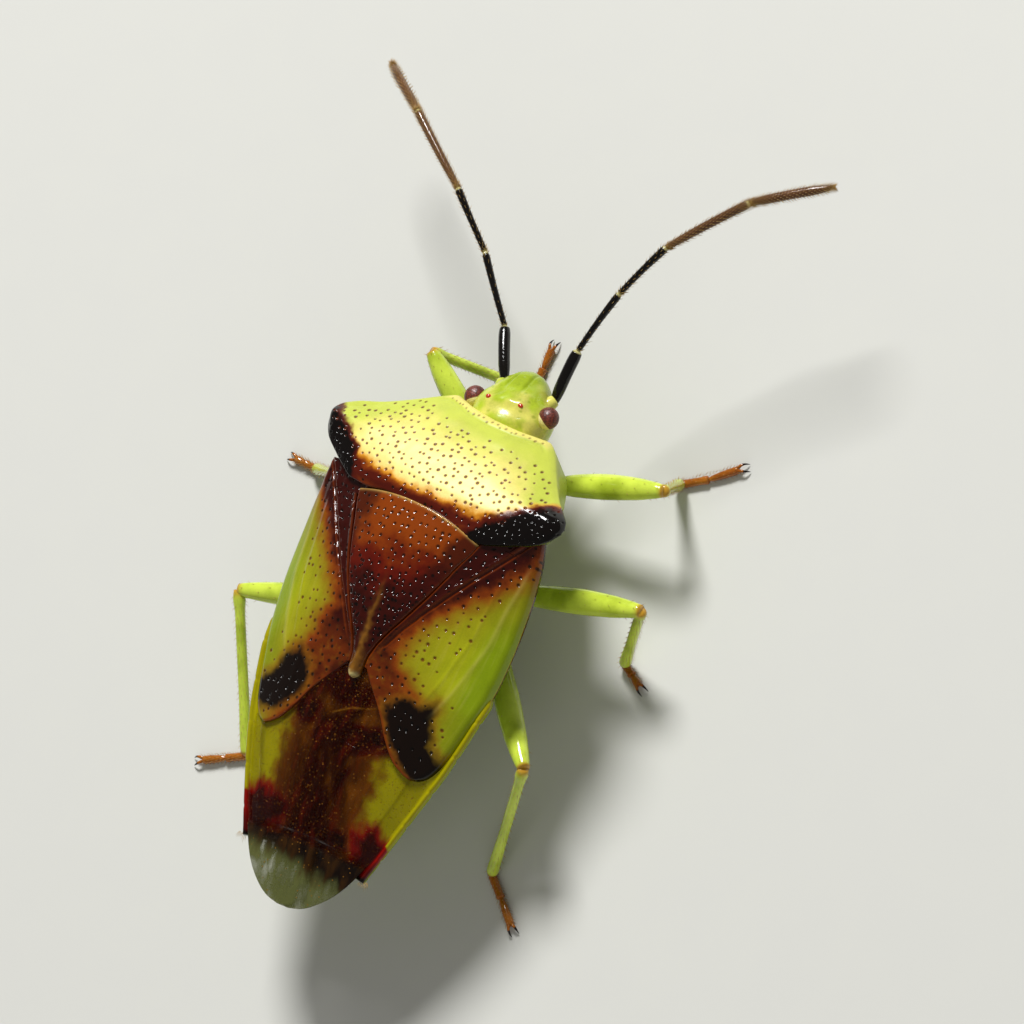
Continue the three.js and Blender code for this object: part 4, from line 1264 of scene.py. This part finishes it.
class MakeHead(bpy.types.Operator):
    """Adds the head with its lobes, two large eyes, two small ones on top and the feelers' sockets"""

    bl_idname = "bug.head"
    bl_label = "Head"

    def execute(self, context):
        paints = context.scene.bug_colours
        rows = closing(1.2, 2.45, 2.678, 90, 40, 0.02)
        half, crown, chin = (curve(knots, rows) for knots in (HEAD_HALF, HEAD_CROWN, HEAD_CHIN))
        angle = np.linspace(0, 2 * np.pi, 160, endpoint=False)[None, :]
        c, s = np.cos(angle), np.sin(angle)
        side = half * np.sign(c) * np.abs(c) ** 0.85
        up = (crown + chin) / 2 + (crown - chin) / 2 * np.sign(s) * np.abs(s) ** 0.85

        def dent(x, y, wide, long):
            return bell(np.abs(side) - x, wide, rows - y, long) * (s > 0)

        groove = bell(np.abs(side) - 0.17 - 0.04 * (2.6 - rows), 0.03) * step(2.08, 2.3, rows) * (s > 0)
        lobe = bell(side, 0.14) * step(2.2, 2.5, rows) * (s > 0)
        up = up - 0.035 * groove + 0.025 * lobe + 0.02 * ripple(side, rows, 0.16, 64) * (s > 0)
        up = up + sum(height * dent(*spot) for height, *spot in HEAD_DENTS)
        on_top = step(0.2, 0.7, s) * step(1.35, 1.6, rows)
        bowl, spot = pits(side, rows, share=lambda x, y: 0.3 + 0.3 * step(1.9, 2.2, y), **HEAD_PIT)
        grid = head_turned(points(side, rows, up - 0.008 * bowl * on_top))
        groove = groove + 0.6 * dent(0.2, 2.0, 0.12, 0.12)
        parts = [loft(grid, pit=spot * on_top, ahead=rows, groove=groove)]
        t = np.linspace(0, 1, 12)
        for hand in HANDS.values():
            path = straight((0.5 * hand, 2.1, 1.12), (0.6 * hand, 2.3, 1.07), t)
            parts.append(tube(path, 0.15 - 0.04 * t**2, sides=24, ahead=1.9))
        material = shell("Head", self.base, paints, depth=0.4, bump=0.08, coat=0.25, Roughness=0.24)
        piece("head_skin", parts, ["head"], material)
        ruby = Shader("Ocellus").finish(Base_Color=paints.coral, Roughness=0.12, Coat_Weight=0.5)
        seats = [head_turned((0.35 * hand, 1.87, 1.745)) for hand in HANDS.values()]
        piece("ocelli", [ball(seat, (0.06, 0.045, 0.04)) for seat in seats], [], ruby)
        self.eyes(paints)
        return {"FINISHED"}

    def base(self, shader, paints):
        times, mask = shader.times, shader.mask
        return shader.layers(
            paints.lime,
            (shader.ramp(shader.noise(1800.0), 0.42, 0.62, 0.0, 0.5), paints.ivory),
            (times(shader.ramp(mask("ahead"), 2.0, 2.4), 0.6), paints.grass),
            (times(mask("groove"), 0.7), paints.grass),
            (times(mask("pit"), 0.5), paints.grass),
        )

    def eyes(self, paints):
        """Each eye is a ball of facets with a pale rim behind it."""
        shader = Shader("Eye")
        facets = shader.cells(28000.0)
        rim = shader.plus(shader.mask("rim"), shader.times(shader.noise(6000.0), 0.1))
        base = shader.layers(
            paints.plum,
            (shader.noise(3000.0), paints.maroon),
            (shader.ramp(facets, 0.35, 0.7, 0.0, 0.6), paints.soot),
        )
        base = shader.blend(shader.ramp(rim, 0.4, 0.48), base, paints.cream)
        shader.bump(facets, 0.5, 0.01 * MM)
        material = shader.finish(Base_Color=base, Roughness=0.42, Coat_Weight=0.1, Coat_Roughness=0.2)
        count = 48
        polar = np.linspace(0.02, np.pi - 0.02, count)[:, None]
        turn = np.arange(count * 2)[None, :] * np.pi / count
        for name, hand in HANDS.items():
            centre = head_turned((EYE["side"] * hand, EYE["ahead"], EYE["up"]))
            rim = -np.sin(polar) * (0.8 * np.sin(turn) + 0.55 * hand * np.cos(turn))
            part = ball(centre, EYE["radii"], count, rim=rim)
            piece("eye_skin_" + name, [part], ["eye_" + name], material)


# Beak, feelers and legs

BEAK = [(0, 2.5, 0.75), (0, 2.2, 0.38), (0, 1.7, 0.12), (0, 1.25, 0.0), (0, 0.8, -0.04)]


def straight(a, b, t):
    """Points on the straight way from a to b, at the shares t of it."""
    a, b = np.asarray(a, float), np.asarray(b, float)
    return a + (b - a) * t[:, None]


class MakeBeak(bpy.types.Operator):
    """Adds the four-jointed beak, folded back under the body"""

    bl_idname = "bug.beak"
    bl_label = "Beak"

    def execute(self, context):
        paints = context.scene.bug_colours
        t = np.linspace(0, 1, 16)
        swell = 0.75 + 0.25 * np.sin(np.pi * np.clip(t, 0.08, 0.92))
        parts = []
        for k, ends in enumerate(zip(BEAK[:-1], BEAK[1:])):
            radii = (0.15 - 0.025 * k) * swell * (1 - 0.75 * (k == 3) * t**3)
            parts.append(tube(straight(*ends, t), radii, joint=k / 3))
        piece("beak", parts, ["rostrum"], shell("Beak", self.base, paints))
        return {"FINISHED"}

    def base(self, shader, paints):
        return shader.blend(shader.ramp(shader.mask("joint"), 0.6, 1.0), paints.lime, paints.umber)


FEELERS = {
    "right": [
        (0.58, 2.24, 1.03), (0.76, 3.28, 1.37), (1.23, 4.52, 1.7), (1.84, 5.6, 1.93),
        (3.07, 6.93, 1.97), (4.44, 7.78, 1.8),
    ],
    "left": [
        (-0.57, 2.32, 1.06), (-1.12, 3.29, 0.94), (-2.02, 4.45, 1.26), (-2.94, 5.35, 1.62),
        (-4.44, 6.48, 1.67), (-5.77, 7.28, 1.01),
    ],
}
FEELER_RADII = [
    [(0, 0.05), (0.06, 0.085), (0.3, 0.112), (0.8, 0.115), (0.96, 0.1), (1, 0.06)],
    [(0, 0.045), (0.04, 0.055), (0.5, 0.062), (0.93, 0.072), (1, 0.045)],
    [(0, 0.045), (0.04, 0.055), (0.5, 0.062), (0.94, 0.075), (1, 0.045)],
    [(0, 0.04), (0.05, 0.055), (0.3, 0.075), (0.9, 0.083), (0.98, 0.07), (1, 0.04)],
    [(0, 0.04), (0.05, 0.06), (0.25, 0.088), (0.7, 0.09), (0.92, 0.06), (1, 0.012)],
]
FEELER_HAIRS = [0, 60, 110, 420, 460]  # on each joint


class MakeFeelers(bpy.types.Operator):
    """Adds the five-jointed feelers with pale joints and fine golden hairs"""

    bl_idname = "bug.feelers"
    bl_label = "Feelers"

    def execute(self, context):
        sizes, paints = context.scene.bug_sizes, context.scene.bug_colours
        material = shell("Feeler", self.base, paints, depth=0.4, bump=0.25, coat=0.2)
        hair = hair_material(paints)
        t = np.sin(np.linspace(-1, 1, 60) * np.pi / 2) / 2 + 0.5
        bow = points(0.0, 0.0, 0.03 * np.sin(np.pi * t))
        for name, ends in FEELERS.items():
            parts, seats = [], []
            for k, joint in enumerate(zip(ends[:-1], ends[1:])):
                path, radii = straight(*joint, t) + bow, curve(FEELER_RADII[k], t)
                ring = step(0.04, 0.0, t) * (k > 0) + step(0.955, 0.985, t) * (k < 4)
                parts.append(tube(path, radii, sides=24, joint=k / 4, ring=ring))
                if FEELER_HAIRS[k]:
                    seats.append(hair_seats(path, radii, FEELER_HAIRS[k], 11 + k, 0.9 if k < 4 else 0.75))
            nodes = [f"antenna_{name}_{k}" for k in range(1, 6)]
            piece("feeler_" + name, parts, nodes, material)
            roots, ways = map(np.concatenate, zip(*seats))
            hairs("feeler_hairs_" + name, roots, ways, sizes.hair / MM, hair)
        return {"FINISHED"}

    def base(self, shader, paints):
        return shader.layers(
            paints.jet,
            (shader.ramp(shader.mask("joint"), 0.5, 0.8), paints.bark),
            (shader.times(shader.mask("ring"), 0.6), paints.cream),
        )


GOLDEN_ANGLE = 2.399963


def hair_seats(path, radii, count, seed, lean):
    """Roots and directions of hairs spread over a limb: at even places along it, turned round it by the
    golden angle from one to the next, each leaning towards the limb's tip."""
    n = np.arange(count)
    at = (n + 0.5) / count * (len(path) - 1)
    i = np.minimum(at.astype(int), len(path) - 2)
    part = (at - i)[:, None]
    centre = path[i] * (1 - part) + path[i + 1] * part
    radius = radii[i, None] * (1 - part) + radii[i + 1, None] * part
    way = path[i + 1] - path[i]
    way /= np.linalg.norm(way, axis=1, keepdims=True)
    across = np.cross((0, 0, 1), way)
    across /= np.linalg.norm(across, axis=1, keepdims=True)
    turn = (n * GOLDEN_ANGLE + seed)[:, None]
    out = across * np.cos(turn) + np.cross(way, across) * np.sin(turn)
    return centre + out * radius * 0.9, out * math.cos(lean) + way * math.sin(lean)


def hairs(name, roots, ways, reach, material, thick=0.006):
    """A coat of fine hairs: each is a three-sided spike that bends a little, closed at root and tip."""
    count = len(roots)
    n = np.arange(count)
    long = (reach * (0.6 + 0.8 * chance(n, n * 7, 5)))[:, None]
    ways = ways / np.linalg.norm(ways, axis=1, keepdims=True)
    across = np.cross(ways, (0.3, 0.2, 0.93))
    across /= np.linalg.norm(across, axis=1, keepdims=True)
    upward = np.cross(ways, across)
    sink = np.array([0, 0, -0.12])
    verts = np.zeros((count, 7, 3))
    for level, (t, wide) in enumerate(((0.0, 1.0), (0.55, 0.7))):
        for k in range(3):
            a = 2 * math.pi * k / 3
            ring = across * math.cos(a) + upward * math.sin(a)
            verts[:, level * 3 + k] = roots + (ways + sink * t) * t * long + ring * thick * wide
    verts[:, 6] = roots + (ways + sink) * long
    start = (n * 7)[:, None]
    quads = [start + np.array((k, (k + 1) % 3, 3 + (k + 1) % 3, 3 + k)) for k in range(3)]
    tris = [start + np.array(end) for end in ((2, 1, 0), (3, 4, 6), (4, 5, 6), (5, 3, 6))]
    faces = np.concatenate(quads).tolist() + np.concatenate(tris).tolist()
    mesh = rider(name, verts.reshape(-1, 3), faces, material).data
    columns = int(math.ceil(math.sqrt(count)))
    seat = np.stack([n % columns, n // columns], axis=-1) / columns
    corner = np.zeros(len(mesh.loops), np.int64)
    mesh.loops.foreach_get("vertex_index", corner)
    spread = np.array([(0, 0), (1, 0), (0.5, 1), (0, 0.3), (1, 0.3), (0.5, 0.8), (0.5, 0.5)]) * 0.003
    uv = seat[corner // 7] * 0.99 + spread[corner % 7]
    mesh.uv_layers.new(name="OFBake").data.foreach_set("uv", uv.astype(np.float32).ravel())
    mesh.update()


def hair_material(paints):
    found = bpy.data.materials.get("Hair")
    if found:
        return found
    shader = Shader("Hair")
    base = shader.blend(shader.noise(5000.0), paints.gold, paints.tan)
    return shader.finish(Base_Color=base, Roughness=0.35)


FLOOR = -STAND
LEGS = {
    "fore_right": [
        (0.66, 0.95, 0.25), (3.2, 1.51, 0.5), (2.59, 1.99, FLOOR), (3.11, 2.28, FLOOR),
        (3.6, 2.66, FLOOR),
    ],
    "fore_left": [
        (-0.66, 0.95, 0.25), (-2.4, 2.38, 0.8), (-1.12, 2.67, FLOOR), (-1.13, 3.15, FLOOR),
        (-1.14, 3.55, FLOOR),
    ],
    "mid_right": [
        (0.85, -1.2, 0.1), (3.84, -0.75, 0.5), (3.15, -1.57, FLOOR), (3.39, -1.71, FLOOR),
        (3.6, -1.84, FLOOR),
    ],
    "mid_left": [
        (-0.85, -1.2, 0.1), (-3.4, -0.4, 0.35), (-4.67, -0.22, FLOOR), (-4.95, -0.2, FLOOR),
        (-5.2, -0.18, FLOOR),
    ],
    "hind_right": [
        (0.9, -2.2, 0.1), (3.27, -4.36, 1.0), (2.48, -6.18, FLOOR), (2.87, -6.53, FLOOR),
        (3.3, -6.93, FLOOR),
    ],
    "hind_left": [
        (-0.9, -2.2, 0.1), (-4.28, -3.11, 0.3), (-3.38, -5.83, FLOOR), (-3.78, -6.02, FLOOR),
        (-4.22, -6.22, FLOOR),
    ],
}
HIP_RADII = [(0, 0.22), (0.45, 0.27), (0.7, 0.27), (0.9, 0.19), (1, 0.06)]
FEMUR_RADII = [
    (0, 0.12), (0.06, 0.16), (0.25, 0.225), (0.5, 0.25), (0.75, 0.22), (0.93, 0.16), (1, 0.12),
]
TIBIA_RADII = [(0, 0.1), (0.05, 0.125), (0.15, 0.1), (0.6, 0.1), (0.95, 0.12), (1, 0.09)]
FOOT_RADIUS = 0.085
FOOT_SHAPE = [(0, 0.7), (0.1, 0.95), (0.7, 0.9), (0.95, 1.0), (1, 0.6)]  # in radii of the foot
TOE_RADIUS = 0.08
TOE_SHAPE = [(0, 0.5), (0.15, 0.75), (0.7, 1.0), (0.95, 0.95), (1, 0.6)]


class MakeLegs(bpy.types.Operator):
    """Adds the six legs, each one skin from hip to claws, with short hairs"""

    bl_idname = "bug.legs"
    bl_label = "Legs"

    def execute(self, context):
        sizes, paints = context.scene.bug_sizes, context.scene.bug_colours
        material = shell("Leg", self.base, paints, bump=0.12, coat=0.5)
        hair = hair_material(paints)
        for name, joints in LEGS.items():
            parts, seats = self.leg(*np.array(joints, float))
            nodes = [f"{bone}_{name}" for bone in ("femur", "tibia", "tarsus")]
            piece("leg_" + name, parts, nodes, material)
            roots, ways = map(np.concatenate, zip(*seats))
            hairs("leg_hairs_" + name, roots, ways, sizes.hair / MM * 0.9, hair, 0.005)
        return {"FINISHED"}

    def base(self, shader, paints):
        """Green to the knee and shin, copper at the knee and foot, umber at the claws."""
        ramp, joint = shader.ramp, shader.mask("joint")
        foot = shader.blend(shader.noise(4000.0), paints.copper, paints.rust)
        return shader.layers(
            paints.stem,
            (ramp(shader.noise(1500.0), 0.4, 0.7, 0.0, 0.6), paints.grass),
            (shader.times(shader.mask("knee"), 0.8), paints.copper),
            (ramp(joint, 0.85, 1.0), foot),
            (ramp(joint, 1.85, 2.0), paints.umber),
        )

    def leg(self, hip, knee, ankle, foot, toe):
        """Hip, thigh, shin, two foot joints and two claws, each a closed limb set into the one before."""
        t = np.linspace(0, 1, 50)
        ankle, foot, toe = (p + (0, 0, FOOT_RADIUS) for p in (ankle, foot, toe))
        low = hip + (0.05 * np.sign(hip[0]), 0, -0.3)
        thigh = straight(low, knee, t) + points(0.0, 0.0, 0.08 * np.sin(np.pi * t))
        shin = straight(knee, ankle + (0, 0, 0.02), t)
        thigh_radii, shin_radii = curve(FEMUR_RADII, t), curve(TIBIA_RADII, t)
        square = np.cross(ankle - knee, (0, 0, 1.0))
        knee_end, foot_end = step(0.06, 0.0, t), step(0.86, 1.0, t)
        parts = [
            tube(straight(hip + (0, 0, 0.5), low, t), curve(HIP_RADII, t), up=(0, 1, 0)),
            tube(thigh, thigh_radii, sides=28, flat=0.9, knee=step(0.97, 1.0, t)),
            tube(shin, shin_radii, up=square, joint=foot_end, knee=knee_end),
            tube(straight(ankle, foot, t), FOOT_RADIUS * curve(FOOT_SHAPE, t), joint=1.0),
            tube(straight(foot, toe, t), TOE_RADIUS * curve(TOE_SHAPE, t), joint=1.0),
        ]
        way = (toe - ankle) / np.linalg.norm(toe - ankle)
        across = np.cross((0, 0, 1), way)
        rise = points(0.0, 0.0, 0.03 + 0.02 * np.sin(np.pi * t) - 0.09 * t**2)
        for hand in HANDS.values():
            off = hand * (0.035 + 0.1 * t - 0.06 * t**2)
            claw = toe + np.outer(0.2 * t, way) + np.outer(off, across) + rise
            parts.append(tube(claw, 0.032 * (1 - t) ** 0.7 + 0.003, sides=10, joint=1 + step(0.0, 0.5, t)))
        seats = [
            hair_seats(thigh[10:], thigh_radii[10:], 60, 3, 0.9),
            hair_seats(shin, shin_radii, 190, 5, 0.8),
            hair_seats(straight(ankle, toe, t), TOE_RADIUS + 0 * t, 120, 7, 0.8),
        ]
        return parts, seats


# Stage

CAMERA = {
    "turn": -105.14,
    "height": 60.2,
    "roll": -51.64,
    "distance": 200.0,
    "span": 19.253,  # breadth of the view at the insect
    "off": (0.2365, 0.1152),
}
SENSOR = 36.0
LIGHT_DISTANCE = 0.25
KEY = {"size": 0.075, "power": 0.88, "way": (-0.27, 0.63, 0.72)}
FILL = {"size": 0.3, "power": 0.2, "way": (0.4, -0.8, 0.6)}
SKY = {"colour": (1.0, 0.98, 0.94, 1), "strength": 0.17}
FLOOR_REACH = 1.5


class MakeStage(bpy.types.Operator):
    """Adds the pale floor, the soft lights and the camera at the photo's angle"""

    bl_idname = "bug.stage"
    bl_label = "Stage"

    def execute(self, context):
        self.floor(context.scene.bug_colours)
        self.camera(context)
        self.light("Key", **KEY)
        fill = self.light("Fill", **FILL)
        fill.visible_glossy = False  # it only lifts the shadows and leaves no haze on the black parts
        world = bpy.data.worlds.new("Soft light")
        world.use_nodes = True
        background = world.node_tree.nodes["Background"]
        background.inputs["Color"].default_value = SKY["colour"]
        background.inputs["Strength"].default_value = SKY["strength"]
        context.scene.world = world
        context.scene.view_settings.view_transform = "Standard"
        return {"FINISHED"}

    def floor(self, paints):
        mesh = bpy.data.meshes.new("floor")
        corners = [(x * FLOOR_REACH, y * FLOOR_REACH, 0) for x, y in ((-1, -1), (1, -1), (1, 1), (-1, 1))]
        mesh.from_pydata(corners, [], [(0, 1, 2, 3)])
        shader = Shader("Floor")
        mottle = shader.ramp(shader.noise(900.0, 2.0), 0.3, 0.7, 0.0, 0.06)
        base = shader.blend(mottle, paints.floor, (0.5, 0.5, 0.5))
        mesh.materials.append(shader.finish(Base_Color=base, Roughness=0.85))
        made = bpy.data.objects.new("floor", mesh)
        bpy.context.scene.collection.objects.link(made)

    def camera(self, context):
        """Stands back from the breast along the photo's line of sight, rolled as the photo is."""
        turn, height, roll = (math.radians(CAMERA[k]) for k in ("turn", "height", "roll"))
        level = Vector((math.cos(turn), math.sin(turn), 0))
        flat = math.cos(height)
        back = Vector((math.sin(turn) * flat, -math.cos(turn) * flat, math.sin(height)))
        right = level * math.cos(roll) + back.cross(level) * math.sin(roll)
        up = back.cross(right)
        target = Vector((CENTRE[0], CENTRE[1], STAND * MM))
        off = CAMERA["off"]
        spot = target + (right * off[0] + up * off[1] + back * CAMERA["distance"]) * MM
        data = bpy.data.cameras.new("camera")
        data.sensor_width = SENSOR
        data.lens = SENSOR * CAMERA["distance"] / CAMERA["span"]
        data.clip_start, data.clip_end = 0.01, 10
        made = bpy.data.objects.new("camera", data)
        made.matrix_world = Matrix.Translation(spot) @ Matrix((right, up, back)).transposed().to_4x4()
        context.scene.collection.objects.link(made)
        context.scene.camera = made

    def light(self, name, size, power, way):
        """A round soft light, off the way given as the insect's right, ahead and up."""
        data = bpy.data.lights.new(name, "AREA")
        data.shape = "DISK"
        data.size = size
        data.energy = power
        made = bpy.data.objects.new(name, data)
        back = Vector((-way[0], -way[1], way[2])).normalized()
        made.location = Vector((*CENTRE, 0)) + back * LIGHT_DISTANCE
        made.rotation_mode = "QUATERNION"
        made.rotation_quaternion = back.to_track_quat("Z", "Y")
        bpy.context.scene.collection.objects.link(made)
        return made


OPERATORS = [
    MakeStage,
    MakeAbdomen,
    MakeBreast,
    MakePronotum,
    MakeScutellum,
    MakeWings,
    MakeMembranes,
    MakeHead,
    MakeBeak,
    MakeFeelers,
    MakeLegs,
]


class BugPanel(bpy.types.Panel):
    """Lists the pieces of the shield bug and the values they use"""

    bl_idname = "VIEW3D_PT_bug"
    bl_label = "Shield bug"
    bl_space_type = "VIEW_3D"
    bl_region_type = "UI"
    bl_category = "Shield bug"

    def draw(self, context):
        for operator in OPERATORS:
            self.layout.operator(operator.bl_idname)
        for group in (context.scene.bug_sizes, context.scene.bug_colours):
            for key in group.__annotations__:
                self.layout.prop(group, key)


CLASSES = [BugColours, BugSizes, *OPERATORS, BugPanel]


def register():
    for cls in CLASSES:
        bpy.utils.register_class(cls)
    bpy.types.Scene.bug_colours = bpy.props.PointerProperty(type=BugColours)
    bpy.types.Scene.bug_sizes = bpy.props.PointerProperty(type=BugSizes)


def unregister():
    del bpy.types.Scene.bug_sizes
    del bpy.types.Scene.bug_colours
    for cls in reversed(CLASSES):
        bpy.utils.unregister_class(cls)


def main():
    register()
    for operator in OPERATORS:
        getattr(bpy.ops.bug, operator.bl_idname.split(".")[1])()


if __name__ == "__main__":
    main()
